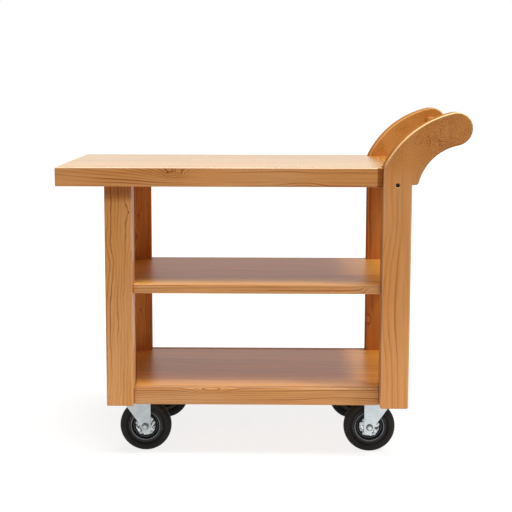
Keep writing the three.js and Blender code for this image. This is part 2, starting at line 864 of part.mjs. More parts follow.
/** One caster under the deck. A turned caster trails towards the other end of the table. */
function caster(place, x, y, turned) {
  const group = new THREE.Group();
  group.position.set(x, y, 0);
  group.rotation.z = turned ? Math.PI : 0;
  const nutSide = Math.sign(y) * (turned ? -1 : 1);
  piece(group, `${place}_caster_plate`, plateForm(), zinc);
  piece(group, `${place}_kingpin`, kingpinForm(), zinc);
  piece(group, `${place}_ball_race`, raceForm(), darkSteel);
  piece(group, `${place}_fork`, forkForm(), zinc);
  piece(group, `${place}_axle_bolt`, axleBoltForm(nutSide), zinc);
  piece(group, `${place}_axle_nut`, axleNutForm(nutSide), zinc);
  piece(group, `${place}_hub_bush`, bushForm(), darkSteel);
  piece(group, `${place}_rim`, rimForm(), zinc);
  piece(group, `${place}_tyre`, tyreForm(), rubber);
  table.add(group);
}

const pinY = legBackY - casterLegGap - plateWidth / 2;
const leftPinX = leftRailX + railThickness + casterRailGap + plateLength / 2;
const rightPinX = rightRailX - casterRailGap - plateLength / 2;
caster('front_left', leftPinX, -pinY, false);
caster('rear_left', leftPinX + rearCasterInset, pinY, false);
caster('front_right', rightPinX, -pinY, true);
caster('rear_right', rightPinX - rearCasterInset, pinY, true);

export default table;
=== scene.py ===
"""Looks of a rolling butcher block table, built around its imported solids.

A thick glued-up pine top lies on two square legs and runs between two handle legs, whose
wings a round bar joins. A middle shelf, a framed deck and four swivel casters hang below.
Everything is in metres: X runs along the table towards the handle, Y towards the back and
Z up, with the origin on the floor under the middle of the table.
"""

import logging
import math
from collections.abc import Iterable, Mapping, Sequence
from dataclasses import dataclass
from enum import Enum
from functools import cached_property

import bmesh
import bpy
import numpy as np
from mathutils import Matrix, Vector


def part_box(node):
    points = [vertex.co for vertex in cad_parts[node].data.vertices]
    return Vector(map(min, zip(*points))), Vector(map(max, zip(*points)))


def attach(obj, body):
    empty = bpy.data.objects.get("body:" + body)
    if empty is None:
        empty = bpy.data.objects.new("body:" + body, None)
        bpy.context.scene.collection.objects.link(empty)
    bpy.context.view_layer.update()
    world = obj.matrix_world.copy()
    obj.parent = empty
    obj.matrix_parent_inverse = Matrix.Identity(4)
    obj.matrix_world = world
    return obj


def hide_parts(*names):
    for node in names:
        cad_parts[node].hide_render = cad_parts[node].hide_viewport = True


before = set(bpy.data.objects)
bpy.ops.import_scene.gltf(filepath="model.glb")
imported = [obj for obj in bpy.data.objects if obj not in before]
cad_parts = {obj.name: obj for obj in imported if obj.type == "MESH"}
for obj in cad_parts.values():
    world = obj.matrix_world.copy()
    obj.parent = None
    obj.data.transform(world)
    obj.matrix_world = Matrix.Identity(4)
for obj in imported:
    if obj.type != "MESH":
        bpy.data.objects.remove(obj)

LOG = logging.getLogger("table")

GLUE_GAP = 0.00015
"""Clearance between two wooden pieces."""
CORNER_SHARE = 1.4
"""Radius of a board's upright corners for each unit of its eased edges."""
NOTCH_CORNER = 0.0003
"""Radius of a notch's inner corners."""
SAME_PLACE = 1e-6
"""Distance within which two points of a mesh are one."""
PLAIN = (1.0, 1.0, 1.0)
"""Factors that leave a colour as it is."""

Pair = tuple[float, float]
Triple = tuple[float, float, float]
Colour = tuple[float, float, float, float]
Material = bpy.types.Material
Socket = bpy.types.NodeSocket
Value = Socket | float | Sequence[float]


def tint(*seen: float) -> Colour:
    """Turn a colour as it is seen on a display into the linear colour of a shader.

    Args:
        seen: Red, green and blue from 0 to 255.

    Returns:
        The linear colour with full alpha.
    """
    share = np.array(seen) / 255
    linear = np.where(share <= 0.04045, share / 12.92, ((share + 0.055) / 1.055) ** 2.4)
    return (*(float(x) for x in linear), 1.0)


# ---- shapes


class Form:
    """Points and faces gathered from whole arrays before they become one mesh.

    Attributes:
        points: The points, one a row.
        arris: How much of an eased edge each point is, from 0 to 1, which sets how much paler it is for
            wear and a painted highlight.
        faces: The numbers of the points round each face.
        finishes: The material's number of each face.
        last: First point and row length of the grid that was added last.
    """

    def __init__(self) -> None:
        """Start with nothing in the form."""
        self.points = np.zeros((0, 3))
        self.arris = np.zeros(0)
        self.faces: list[tuple[int, ...]] = []
        self.finishes: list[int] = []
        self.last = (0, 0)

    def net(self, rows: np.ndarray, around: bool = True, along: bool = False,
            finish: int | np.ndarray = 0, arris: np.ndarray | None = None) -> "Form":
        """Add a grid of points, joined by four-sided faces to the next row and column.

        Args:
            rows: Points as an array of rows by columns by three.
            around: Whether the last column joins the first.
            along: Whether the last row joins the first.
            finish: The material's number, for the whole grid or for each row of faces.
            arris: How much of an eased edge each row is, from 0 to 1, which sets how much paler it is for
                wear and a painted highlight.

        Returns:
            This form.
        """
        high, wide = rows.shape[:2]
        start = len(self.points)
        self.last = (start, wide)
        row = np.arange(high if along else high - 1)[:, None]
        column = np.arange(wide if around else wide - 1)[None, :]
        after, beside = (row + 1) % high, (column + 1) % wide
        quads = np.stack(
            [row * wide + column, row * wide + beside, after * wide + beside, after * wide + column],
            axis=-1,
        )
        self.points = np.vstack([self.points, rows.reshape(-1, 3)])
        wear_and_highlight = np.zeros(high) if arris is None else np.asarray(arris, float)
        self.arris = np.concatenate([self.arris, np.repeat(wear_and_highlight, wide)])
        self.faces += [tuple(q) for q in (quads.reshape(-1, 4) + start).tolist()]
        numbers = np.broadcast_to(np.reshape(finish, (-1, 1)), quads.shape[:2])
        self.finishes += numbers.ravel().tolist()
        return self

    def close(self) -> "Form":
        """Cap both open ends of the grid that was added last.

        Returns:
            This form.
        """
        start, wide = self.last
        for first in (start, len(self.points) - wide):
            self.faces.append(tuple(range(first, first + wide)))
            self.finishes.append(0)
        return self

    def merged(self, other: "Form") -> "Form":
        """Add another form's points and faces to this one.

        Args:
            other: The other form.

        Returns:
            This form.
        """
        shift = len(self.points)
        self.points = np.vstack([self.points, other.points])
        self.arris = np.concatenate([self.arris, other.arris])
        self.faces += [tuple(i + shift for i in f) for f in other.faces]
        self.finishes += other.finishes
        return self

    def mesh(self, name: str, sharp: float = 40.0) -> bpy.types.Mesh:
        """Make the mesh: doubles merged, faces outwards, creases sharper than an angle kept.

        Args:
            name: Name of the mesh.
            sharp: Angle in degrees past which an edge is shaded as a crease.

        Returns:
            The new mesh.
        """
        mesh = bpy.data.meshes.new(name)
        mesh.from_pydata(self.points.tolist(), [], self.faces)
        mesh.polygons.foreach_set("material_index", np.array(self.finishes, np.int32))
        edge = mesh.attributes.new("arris", "FLOAT", "POINT")
        edge.data.foreach_set("value", self.arris.astype(np.float32))
        work = bmesh.new()
        work.from_mesh(mesh)
        bmesh.ops.remove_doubles(work, verts=work.verts, dist=SAME_PLACE)
        bmesh.ops.dissolve_degenerate(work, edges=work.edges, dist=SAME_PLACE / 10)
        bmesh.ops.recalc_face_normals(work, faces=work.faces)
        work.to_mesh(mesh)
        work.free()
        mesh.polygons.foreach_set("use_smooth", np.ones(len(mesh.polygons), bool))
        mesh.set_sharp_from_angle(angle=math.radians(sharp))
        mesh.update()
        return mesh


def rectangle(low: Sequence[float], high: Sequence[float]) -> list[Pair]:
    """List a rectangle's corners anticlockwise from its lowest one."""
    return [(low[0], low[1]), (high[0], low[1]), (high[0], high[1]), (low[0], high[1])]


def circle(count: int) -> np.ndarray:
    """Spread angles evenly round a circle, from 0."""
    return np.linspace(0, 2 * math.pi, count, endpoint=False)


def on_axis(axis: int, station: np.ndarray, first: np.ndarray, second: np.ndarray) -> np.ndarray:
    """Join stations on an axis and places on the two axes that follow it into points."""
    parts = np.broadcast_arrays(station, first, second)
    return np.stack([parts[(a - axis) % 3] for a in range(3)], axis=-1)


def rounded(corners: Sequence[Sequence[float]], radii: float | Sequence[float],
            steps: int = 5, hold: float = 0.0004) -> np.ndarray:
    """Round the corners of a closed outline with arcs that touch both sides.

    Along an arc a point moves on by the radius times the sine of the angle turned so far, and
    inwards by the radius times one minus its cosine. A holding point lies a little way before
    and after it, so that shading on the flat sides stays flat.

    Args:
        corners: Corner points in order, two numbers each.
        radii: One radius for all corners, or one for each. It is above 0.
        steps: Facets of each arc.
        hold: Distance of the holding points.

    Returns:
        The rounded outline, one point a row.
    """
    at = np.asarray(corners, float)
    radius = np.broadcast_to(np.asarray(radii, float), len(at))[:, None]
    come = at - np.roll(at, 1, axis=0)
    leave = np.roll(at, -1, axis=0) - at
    come /= np.linalg.norm(come, axis=1, keepdims=True)
    leave /= np.linalg.norm(leave, axis=1, keepdims=True)
    cross = come[:, :1] * leave[:, 1:] - come[:, 1:] * leave[:, :1]
    angle = np.arctan2(cross, np.sum(come * leave, axis=1, keepdims=True))
    side = np.sign(angle)
    inward = np.hstack([-come[:, 1:], come[:, :1]]) * side
    start = at - come * radius * np.tan(np.abs(angle) / 2)
    sweep = np.linspace(0, 1, steps + 1)[None, :, None] * np.abs(angle)[:, None, :]
    arc = (
        start[:, None, :]
        + inward[:, None, :] * radius[:, None, :] * (1 - np.cos(sweep))
        + come[:, None, :] * radius[:, None, :] * np.sin(sweep)
    )
    before = arc[:, :1] - come[:, None, :] * hold
    behind = arc[:, -1:] + leave[:, None, :] * hold
    return np.concatenate([before, arc, behind], axis=1).reshape(-1, 2)


def inset(outline: np.ndarray, by: np.ndarray) -> np.ndarray:
    """Move a closed outline inwards, each point along the sum of its two sides' normals.

    Args:
        outline: Points in order, anticlockwise for an inward move.
        by: Distances, one for each ring that is wanted.

    Returns:
        An array of rings by points by two.
    """
    run = np.roll(outline, -1, axis=0) - outline
    run /= np.linalg.norm(run, axis=1, keepdims=True)
    normal = np.stack([-run[:, 1], run[:, 0]], axis=1)
    earlier = np.roll(normal, 1, axis=0)
    share = 1 + np.sum(normal * earlier, axis=1, keepdims=True)
    return outline[None] + by[:, None, None] * ((normal + earlier) / share)[None]


def plate(outline: np.ndarray, axis: int, low: float, high: float, ease: float,
          steps: int = 5, hold: float = 0.0004) -> Form:
    """Give an outline a thickness, with a quarter round along the edges of both faces.

    Going over an edge, the inset is ease times one minus the sine and the height is ease
    times one minus the cosine of an angle that runs from 0 to 90 degrees. The edge's paler
    colour, for wear and a painted highlight, is strongest where that angle is 45 degrees.

    Args:
        outline: Closed outline in the two axes that follow the thickness axis.
        axis: Axis of the thickness: 0, 1 or 2.
        low: Lower face's place on that axis.
        high: Upper face's place on that axis.
        ease: Radius of the eased edges.
        steps: Facets of each quarter round.
        hold: Width of the narrow flat faces beside each round.

    Returns:
        The closed form.
    """
    after = np.roll(outline, -1, axis=0)
    area = np.sum(outline[:, 0] * after[:, 1] - outline[:, 1] * after[:, 0])
    outline = outline if area > 0 else outline[::-1]
    angle = np.linspace(0, math.pi / 2, steps + 1)
    inwards = np.concatenate([[ease + hold], ease * (1 - np.sin(angle)), [0.0]])
    upwards = np.concatenate([[0.0], ease * (1 - np.cos(angle)), [ease + hold]])
    # The paler edge colour, for wear and a painted highlight, never falls below this share on a round.
    least_edge_paling = 0.3
    wear_and_highlight = np.concatenate([[0.0], np.sin(angle * 2) * (1 - least_edge_paling) + least_edge_paling, [0.0]])
    rings = inset(outline, np.concatenate([inwards, inwards[::-1]]))
    heights = np.concatenate([low + upwards, high - upwards[::-1]])
    points = on_axis(axis, heights[:, None], rings[..., 0], rings[..., 1])
    return Form().net(points, arris=np.concatenate([wear_and_highlight, wear_and_highlight[::-1]])).close()


def board(low: Sequence[float], high: Sequence[float], axis: int, ease: float = 0.003) -> Form:
    """Saw a board between two corners and ease all its edges.

    Args:
        low: Lowest corner.
        high: Highest corner.
        axis: Axis along which it is drawn out: 0, 1 or 2.
        ease: Radius of the eased edges.

    Returns:
        The closed form.
    """
    first, second = (axis + 1) % 3, (axis + 2) % 3
    corners = rectangle((low[first], low[second]), (high[first], high[second]))
    return plate(rounded(corners, ease * CORNER_SHARE), axis, low[axis], high[axis], ease)


def turned(profile: np.ndarray | Sequence[Sequence[float]], segments: int, axis: int = 2,
           centre: Sequence[float] = (0, 0, 0), finish: int | np.ndarray = 0,
           closed: bool = True) -> Form:
    """Turn a profile about an axis: each point goes round a circle of its own radius.

    Args:
        profile: Radius and station of each point.
        segments: Facets round the circle.
        axis: Axis that it turns about: 0, 1 or 2.
        centre: A point on the axis, from which stations count.
        finish: The material's number, for all or for each stretch of the profile.
        closed: Whether the last point joins the first. Otherwise the ends lie on the axis.

    Returns:
        The closed form.
    """
    angle = circle(segments)
    radius, station = np.asarray(profile, float).T[..., None]
    points = on_axis(axis, station, radius * np.cos(angle), radius * np.sin(angle))
    return Form().net(points + np.asarray(centre, float), along=closed, finish=finish)


def hexagon(across: float, low: float, high: float, axis: int, centre: Sequence[float],
            chamfer: float, segments: int = 96) -> Form:
    """Make a hexagonal nut or head whose corners are turned down to a cone at both ends.

    The radius is the smaller of the hexagon's, which is half the width over the cosine of
    the angle from the nearest flat, and the cone's at that height. The cone starts a little
    inside the flats and reaches the corners at the chamfer's depth.

    Args:
        across: Width across the flats.
        low: First face's station on the axis.
        high: Second face's station on the axis.
        axis: Axis of the hexagon: 0, 1 or 2.
        centre: A point on the axis, from which stations count.
        chamfer: Depth of the cone along the axis.
        segments: Points round it.

    Returns:
        The closed form.
    """
    angle = circle(segments)
    off = (angle + math.pi / 6) % (math.pi / 3) - math.pi / 6
    flat = across / 2 / np.cos(off)
    depth = np.array([0, 0.33, 0.66, 1.0, 1.6]) * chamfer
    corner = across / 2 / math.cos(math.pi / 6)
    start = across / 2 * 0.97
    cone = start + (corner - start) * np.minimum(depth / chamfer, 1)
    half = np.minimum(flat[None], cone[:, None])
    radius = np.concatenate([half, half[::-1]])
    station = np.concatenate([min(low, high) + depth, max(low, high) - depth[::-1]])
    points = on_axis(axis, station[:, None], radius * np.cos(angle), radius * np.sin(angle))
    return Form().net(points + np.asarray(centre, float)).close()


# ---- node shorthand


class Nodes:
    """Shorthand for the node tree of one material, or of the world.

    Attributes:
        owner: The material or the world.
        tree: Its node tree, empty at first.
    """

    def __init__(self, owner: Material | bpy.types.World) -> None:
        """Empty the tree of a new material or world.

        Args:
            owner: The material or the world.
        """
        self.owner = owner
        owner.use_nodes = True
        self.tree = owner.node_tree
        self.tree.nodes.clear()

    def add(self, kind: str, inputs: Mapping[int | str, Value] | None = None,
            **settings: object) -> bpy.types.Node:
        """Add a node.

        Args:
            kind: The node's type.
            inputs: Value of each input that isn't left as it is, by its name or number.
            settings: Names and values of the node's properties.

        Returns:
            The node.
        """
        node = self.tree.nodes.new(kind)
        for name, value in settings.items():
            setattr(node, name, value)
        for key, value in (inputs or {}).items():
            if isinstance(value, Socket):
                self.tree.links.new(value, node.inputs[key])
            else:
                node.inputs[key].default_value = value
        return node

    @cached_property
    def place(self) -> Socket:
        """The Object coordinates, which are metres in the table's own frame."""
        return self.add("ShaderNodeTexCoord").outputs["Object"]

    @cached_property
    def normal(self) -> Socket:
        """The surface's own normal in the table's frame."""
        return self.add("ShaderNodeTexCoord").outputs["Normal"]

    def work(self, operation: str, *values: Value, clamp: bool = False) -> Socket:
        """Do a sum on one, two or three values, kept between 0 and 1 if it is clamped."""
        inputs = dict(enumerate(values))
        return self.add("ShaderNodeMath", inputs, operation=operation, use_clamp=clamp).outputs[0]

    def times(self, first: Value, second: Value, clamp: bool = False) -> Socket:
        """Multiply two values."""
        return self.work("MULTIPLY", first, second, clamp=clamp)

    def less(self, first: Value, second: Value, clamp: bool = False) -> Socket:
        """Take the second value from the first."""
        return self.work("SUBTRACT", first, second, clamp=clamp)

    def slope(self, value: Value, rise: Value, start: Value) -> Socket:
        """Multiply a value by a rise and add a start."""
        return self.work("MULTIPLY_ADD", value, rise, start)

    def sway(self, noise: Value, reach: Value, middle: Value) -> Socket:
        """Move a middle value up and down by a reach times noise around 0.5."""
        return self.slope(self.less(noise, 0.5), reach, middle)

    def squares(self, first: Value, second: Value) -> Socket:
        """Add the squares of two values."""
        return self.work("ADD", self.work("POWER", first, 2.0), self.work("POWER", second, 2.0))

    def split(self, vector: Value) -> tuple[Socket, Socket, Socket]:
        """Split a vector or a colour into its three parts."""
        return tuple(self.add("ShaderNodeSeparateXYZ", {0: vector}).outputs)

    def stretched(self, scale: Sequence[float], shift: Sequence[float] = (0, 0, 0)) -> Socket:
        """Scale the Object coordinates along each axis and shift the result."""
        inputs = {"Vector": self.place, "Scale": scale, "Location": shift}
        return self.add("ShaderNodeMapping", inputs).outputs[0]

    def noise(self, vector: Value, scale: float = 1.0, detail: float = 2.0,
              roughness: float = 0.5, warp: float = 0.0) -> Socket:
        """Give soft noise around 0.5, by its waves to the unit, its octaves and their strength."""
        inputs = {"Scale": scale, "Detail": detail, "Roughness": roughness, "Distortion": warp}
        return self.add("ShaderNodeTexNoise", {"Vector": vector, **inputs}).outputs[0]

    def chance(self, number: Value) -> tuple[Socket, Socket, Socket]:
        """Give three random numbers from 0 to 1 that depend on one whole number."""
        node = self.add("ShaderNodeTexWhiteNoise", {"W": number}, noise_dimensions="1D")
        return self.split(node.outputs["Color"])

    def ease(self, value: Value, low: float, high: float, start: float = 0.0,
             end: float = 1.0) -> Socket:
        """Run smoothly from start to end while a value goes from low to high."""
        inputs = {"Value": value, "From Min": low, "From Max": high, "To Min": start, "To Max": end}
        return self.add("ShaderNodeMapRange", inputs, interpolation_type="SMOOTHSTEP").outputs[0]

    def ramp(self, value: Value, stops: Sequence[Pair]) -> Socket:
        """Run straight between grey stops.

        Args:
            value: What the ramp reads, from 0 to 1.
            stops: Place and height of each stop.

        Returns:
            The height's socket.
        """
        node = self.add("ShaderNodeValToRGB", {0: value})
        elements = node.color_ramp.elements
        while len(elements) < len(stops):
            elements.new(0.5)
        for element, (place, height) in zip(elements, stops):
            element.position = place
            element.color = (height, height, height, 1)
        return node.outputs[0]

    def blend(self, share: Value, first: Value, second: Value, kind: str = "MIX") -> Socket:
        """Blend two colours, by the share of the second one."""
        inputs = {0: share, 6: first, 7: second}
        return self.add("ShaderNodeMix", inputs, data_type="RGBA", blend_type=kind).outputs[2]

    def tinted(self, colour: Value, factors: Value) -> Socket:
        """Multiply a colour by factors on its red, green and blue."""
        return self.blend(1.0, colour, factors, "MULTIPLY")

    def grey(self, value: Value) -> Socket:
        """Turn a number into a grey colour."""
        return self.add("ShaderNodeCombineColor", {0: value, 1: value, 2: value}).outputs[0]

    def relief(self, height: Value, depth: float, strength: float) -> Socket:
        """Turn a height into a bumped normal, with the depth in metres that 1 stands for."""
        inputs = {"Height": height, "Distance": depth, "Strength": strength}
        return self.add("ShaderNodeBump", inputs).outputs[0]

    def surface(self, **inputs: Value) -> Material:
        """Finish the tree with a Principled shader.

        Args:
            inputs: The shader's inputs, with an underscore for each space.

        Returns:
            The finished material.
        """
        named = {name.replace("_", " "): value for name, value in inputs.items()}
        shader = self.add("ShaderNodeBsdfPrincipled", named)
        self.add("ShaderNodeOutputMaterial", {"Surface": shader.outputs[0]})
        return self.owner


# ---- finishes


class Grain(Enum):
    """Axis that a board's fibres run along."""

    X = 0
    Y = 1
    Z = 2


@dataclass(frozen=True)
class Knot:
    """A knot, or a swirl left by one under the surface.

    Attributes:
        centre: Its place along X and Z.
        reach: How far it bends the rings along X and Z.
        swell: How far it pushes the rings aside.
        burl: How far the rings near it are crumpled.
        quiet: Share of the late wood and speckles near it that it hides. Below 0 it adds some.
        core: Radius of the dark heart, or 0 for a swirl alone.
    """

    centre: Pair
    reach: Pair
    swell: float
    core: float = 0.0
    burl: float = 0.0
    quiet: float = 0.0


@dataclass(frozen=True)
class Figure:
    """How one board was sawn from its tree.

    Attributes:
        name: The material's name.
        grain: Axis of the fibres.
        pith: Place of the tree's centre, on the two axes that follow the grain's.
        lean: How far the centre moves on those axes for each metre along the grain.
        ring: Thickness of a year's growth.
        wave: How far the rings wander.
        wander: Waves of that wandering to the metre, along and across the grain.
        lines: Strength of the dark late wood.
        line: Width of its bands.
        crumple: How far the bands waver from one finger's breadth to the next.
        stave: Width of the glued staves, or 0 for one piece.
        stave_from: Edge of the first stave.
        knots: Knots and swirls.
        speckle_from: Height past which lines give way to speckles.
        tone: Factors on red, green and blue.
        wing_tone: Those factors past the height where the speckles start.
        gloss: Roughness of its lacquer.
        sheen: How strongly the lacquer mirrors.
        wear_and_highlight: How much paler its edges are, for wear and for a painted highlight where light
            catches the edges that look up.
        painted_light_past: Place along the grain past which its sides get painted shade or painted light.
        painted_light: Factors on the colour there: below 1 for painted shade, above 1 for painted light.
        painted_light_soft: Half the length over which that painted colour sets in.
        polish: Roughness of the face that looks up, where it differs.
        up_from: Height of a normal from which its face counts as looking up.
        painted_up_light: Factors on the colour of the face that looks up, painting it darker or lighter to
            offset how the lamps and its sheen light it.
        painted_far_up_light: Those factors at the table's back, where they differ, painting how the light
            on that face changes from front to back.
        streaks: Strength of long pale and dark streaks on the face that looks up.
        up_lines: Share of the late wood that shows on the face that looks up.
        bare_before: Place across the table before which faces that look up get a painted highlight.
        front_sheen: How strongly the faces towards the front and the back mirror, where it differs.
        seed: Number that makes this board differ from the others.
    """

    name: str
    grain: Grain
    pith: Pair
    lean: Pair = (0.01, 0.01)
    ring: float = 0.008
    wave: float = 0.010
    wander: Pair = (3.0, 14.0)
    lines: float = 0.8
    line: float = 0.0024
    crumple: float = 0.0012
    stave: float = 0.0
    stave_from: float = 0.0
    knots: tuple[Knot, ...] = ()
    speckle_from: float | None = None
    tone: Triple = (0.86, 0.88, 0.90)
    wing_tone: Triple = PLAIN
    gloss: float = 0.46
    sheen: float = 0.14
    wear_and_highlight: float = 0.05
    painted_light_past: float | None = None
    painted_light: Triple = (0.50, 0.36, 0.22)
    painted_light_soft: float = 0.0025
    polish: float | None = None
    up_from: float = 0.8
    painted_up_light: Triple = PLAIN
    painted_far_up_light: Triple | None = None
    streaks: float = 0.0
    up_lines: float = 1.0
    bare_before: float | None = None
    front_sheen: float | None = None
    seed: float = 0.0


@dataclass(frozen=True)
class OiledPine:
    """Clear satin lacquer over pine with strong year rings.

    Attributes:
        pale: Colour of the early wood.
        warm: Colour of the early wood's warmer patches.
        late: Colour of the late wood.
        bare: Colour of paler edges, partly rubbed bare and partly a painted highlight.
        painted_highlight: Colour of a painted highlight on faces that look up near the front.
        knot: Colour of a knot's heart.
    """

    pale: Colour = tint(221, 158, 95)
    warm: Colour = tint(216, 146, 76)
    late: Colour = tint(138, 68, 12)
    bare: Colour = tint(255, 232, 196)
    painted_highlight: Colour = tint(255, 217, 160)
    knot: Colour = tint(84, 38, 14)

    def dress(self, figure: Figure) -> Material:
        """Make the material of one board."""
        return SawnBoard(self, figure).material()


class SawnBoard:
    """The node tree of one board of pine, worked out step by step.

    The rings are the distance from the tree's centre line, bent by slow noise and by the
    knots, divided by a ring's thickness. The fraction of that number runs from pale early
    wood to dark late wood and falls back at once.

    Attributes:
        pine: The wood's colours.
        figure: How the board was sawn.
        n: The node tree.
        parts: The three coordinates.
        along: Place along the grain. Across and deep are the two places across it.
        normal: The three parts of the surface's normal.
        upward: 1 on the face that looks up.
        end: 1 on end grain.
        wing: 1 past the height where speckles take over, or None without them.
        fibre: Noise of the fibres. Streak and patch are broader ones.
        shown: Share of the late wood that the knots leave.
        burl: 1 in the middle of crumpled grain, or None without it.
        heart: Strength of the knots' dark hearts, or None without them.
    """

    WIDEST_BAND = 0.28
    """Greatest share of a year that is late wood."""
    YEAR_END = ((3.2, 0.0), (1.7, 0.22), (1.1, 0.95), (0.35, 1.0))
    """Darkness before a year's end, at distances counted in widths of its band."""
    LEFT_OVER = 0.10
    """Darkness where one year meets the next."""
    SPECKLE_RISE = (-0.03, 0.05)
    """Heights round the first speckles between which they set in."""
    TABLE_HALF = 0.33
    # Half the table's depth, over which the far painted light on the face that looks up takes over from
    # the near one.
    """Half the table's depth, over which the far bleach takes over from the near one."""

    def __init__(self, pine: OiledPine, figure: Figure) -> None:
        """Start the tree with the coordinates, the noises and the masks.

        Args:
            pine: The wood's colours.
            figure: How the board was sawn.
        """
        self.pine, self.figure = pine, figure
        n = self.n = Nodes(bpy.data.materials.new(figure.name))
        self.parts = n.split(n.place)
        grain = figure.grain.value
        self.along, self.across, self.deep = (self.parts[(grain + step) % 3] for step in range(3))
        self.normal = n.split(n.normal)
        self.upward = n.ease(self.normal[2], figure.up_from, min(0.98, figure.up_from + 0.25))
        self.end = n.ease(n.work("ABSOLUTE", self.normal[grain]), 0.6, 0.95)
        self.wing: Socket | None = None
        if figure.speckle_from is not None:
            self.wing = n.ease(self.parts[2], *(figure.speckle_from + rise for rise in self.SPECKLE_RISE))
        self.fibre = self._pulled_noise(9.0, 520.0, 3.0, detail=3.0, roughness=0.6)
        self.streak = self._pulled_noise(5.0, 90.0, 4.0)
        self.patch = self._pulled_noise(2.2, 9.0, 5.0, detail=3.0)
        self.shown: Value = 1.0
        self.burl: Socket | None = None
        self.heart: Socket | None = None

    def material(self) -> Material:
        """Put the steps together.

        Returns:
            The finished material.
        """
        n = self.n
        late = self._late_wood(self._years())
        colour = self._edges_tone_and_painted_light(self._wood(late))
        height = n.slope(self.fibre, 0.6, n.times(late, 0.5))
        if self.figure.polish is not None:
            height = n.times(height, n.slope(self.upward, -0.85, 1.0))
        return n.surface(
            Base_Color=self._face_up(colour),
            Roughness=self._gloss(late),
            IOR=1.5,
            Specular_IOR_Level=self._sheen(),
            Normal=n.relief(height, 0.00025, 0.35),
        )

    def _pulled_noise(self, along: float, across: float, shift: float, detail: float = 2.0,
                      roughness: float = 0.5) -> Socket:
        """Give noise that is drawn out along the grain and shifted by the board's own seed.

        Args:
            along: Waves to the metre along the grain.
            across: Waves to the metre across it.
            shift: Number that makes this noise differ from the board's others.
            detail: Octaves.
            roughness: Share of the finer octaves.

        Returns:
            The noise value's socket.
        """
        scale = [across] * 3
        scale[self.figure.grain.value] = along
        far = self.figure.seed * 7.31 + shift * 3.7
        place = self.n.stretched(scale, (far, far * 1.7, -far))
        return self.n.noise(place, detail=detail, roughness=roughness)

    def _years(self) -> Socket:
        """Count the years from the pith outwards, and note what the knots hide and crumple.

        Returns:
            The number of years.
        """
        n, figure = self.n, self.figure
        side, depth = self._pith()
        bent = n.work("SQRT", n.squares(n.less(self.across, side), n.less(self.deep, depth)))
        bent = n.sway(self._pulled_noise(*figure.wander, 1.0), 2 * figure.wave, bent)
        bent = n.sway(self._pulled_noise(16.0, 70.0, 2.0), 2 * figure.crumple, bent)
        for knot in figure.knots:
            bell, push, heart = self._knot(knot)
            bent = n.work("ADD", bent, push)
            if knot.burl:
                self.burl = bell
            if knot.quiet:
                self.shown = n.times(self.shown, n.slope(bell, -knot.quiet, 1.0))
            if heart is not None:
                self.heart = heart if self.heart is None else n.work("MAXIMUM", self.heart, heart)
        return n.work("DIVIDE", bent, figure.ring)

    def _pith(self) -> tuple[Socket, Socket]:
        """Work out where the tree's centre line is, for each stave if there are staves.

        Returns:
            The centre's place on the two axes across the grain.
        """
        n, figure = self.n, self.figure
        side, depth = (n.slope(self.along, lean, start) for lean, start in zip(figure.lean, figure.pith))
        if figure.stave:
            number = n.work("FLOOR", self._stave_place())
            own, other, _ = n.chance(n.work("ADD", number, figure.seed))
            later = n.work("GREATER_THAN", number, 0.5)
            side = n.work("ADD", side, n.times(n.times(number, figure.stave), later))
            side = n.work("ADD", side, n.times(later, n.slope(own, 0.12, -0.06)))
            depth = n.work("ADD", depth, n.times(later, n.slope(other, 0.16, -0.08)))
        return side, depth

    def _stave_place(self) -> Socket:
        """Measure from the first stave's edge, in widths of a stave."""
        return self.n.work("DIVIDE", self.n.less(self.across, self.figure.stave_from), self.figure.stave)

    def _stave_tone(self) -> Socket:
        """Give each stave its own tone and a fine dark glue line on both sides.

        Returns:
            The factor on the colour.
        """
        n, figure = self.n, self.figure
        place = self._stave_place()
        own, _, _ = n.chance(n.work("ADD", n.work("FLOOR", place), figure.seed + 40))
        seam = n.work("ABSOLUTE", n.less(n.work("FRACT", place), 0.5))
        line = n.ease(seam, 0.5 - 0.0005 / figure.stave, 0.5, 0.0, 0.22)
        return n.less(n.slope(own, 0.12, 0.94), line)

    def _knot(self, knot: Knot) -> tuple[Socket, Socket, Socket | None]:
        """Bend the rings round a knot by a bell curve of the distance from it.

        Args:
            knot: The knot.

        Returns:
            The bell curve, the push on the rings and, if it has one, the mask of its heart.
        """
        n = self.n
        offs = [n.less(part, middle) for part, middle in zip(self.parts[::2], knot.centre)]
        far = n.squares(*(n.work("DIVIDE", off, reach) for off, reach in zip(offs, knot.reach)))
        bell = n.work("EXPONENT", n.times(far, -1.0))
        push = n.times(bell, knot.swell)
        if knot.burl:
            crumple = n.noise(n.place, scale=75.0, detail=2.0, roughness=0.6)
            crumple = n.times(n.less(crumple, 0.5), 2 * knot.burl)
            push = n.work("ADD", push, n.times(crumple, bell))
        if not knot.core:
            return bell, push, None
        stretch = [(max(knot.reach) / reach) ** 0.5 for reach in knot.reach]
        squared = n.squares(*(n.times(off, factor) for off, factor in zip(offs, stretch)))
        heart = n.ease(n.work("SQRT", squared), knot.core * 0.5, knot.core * 1.25, 0.85, 0.0)
        return bell, push, heart

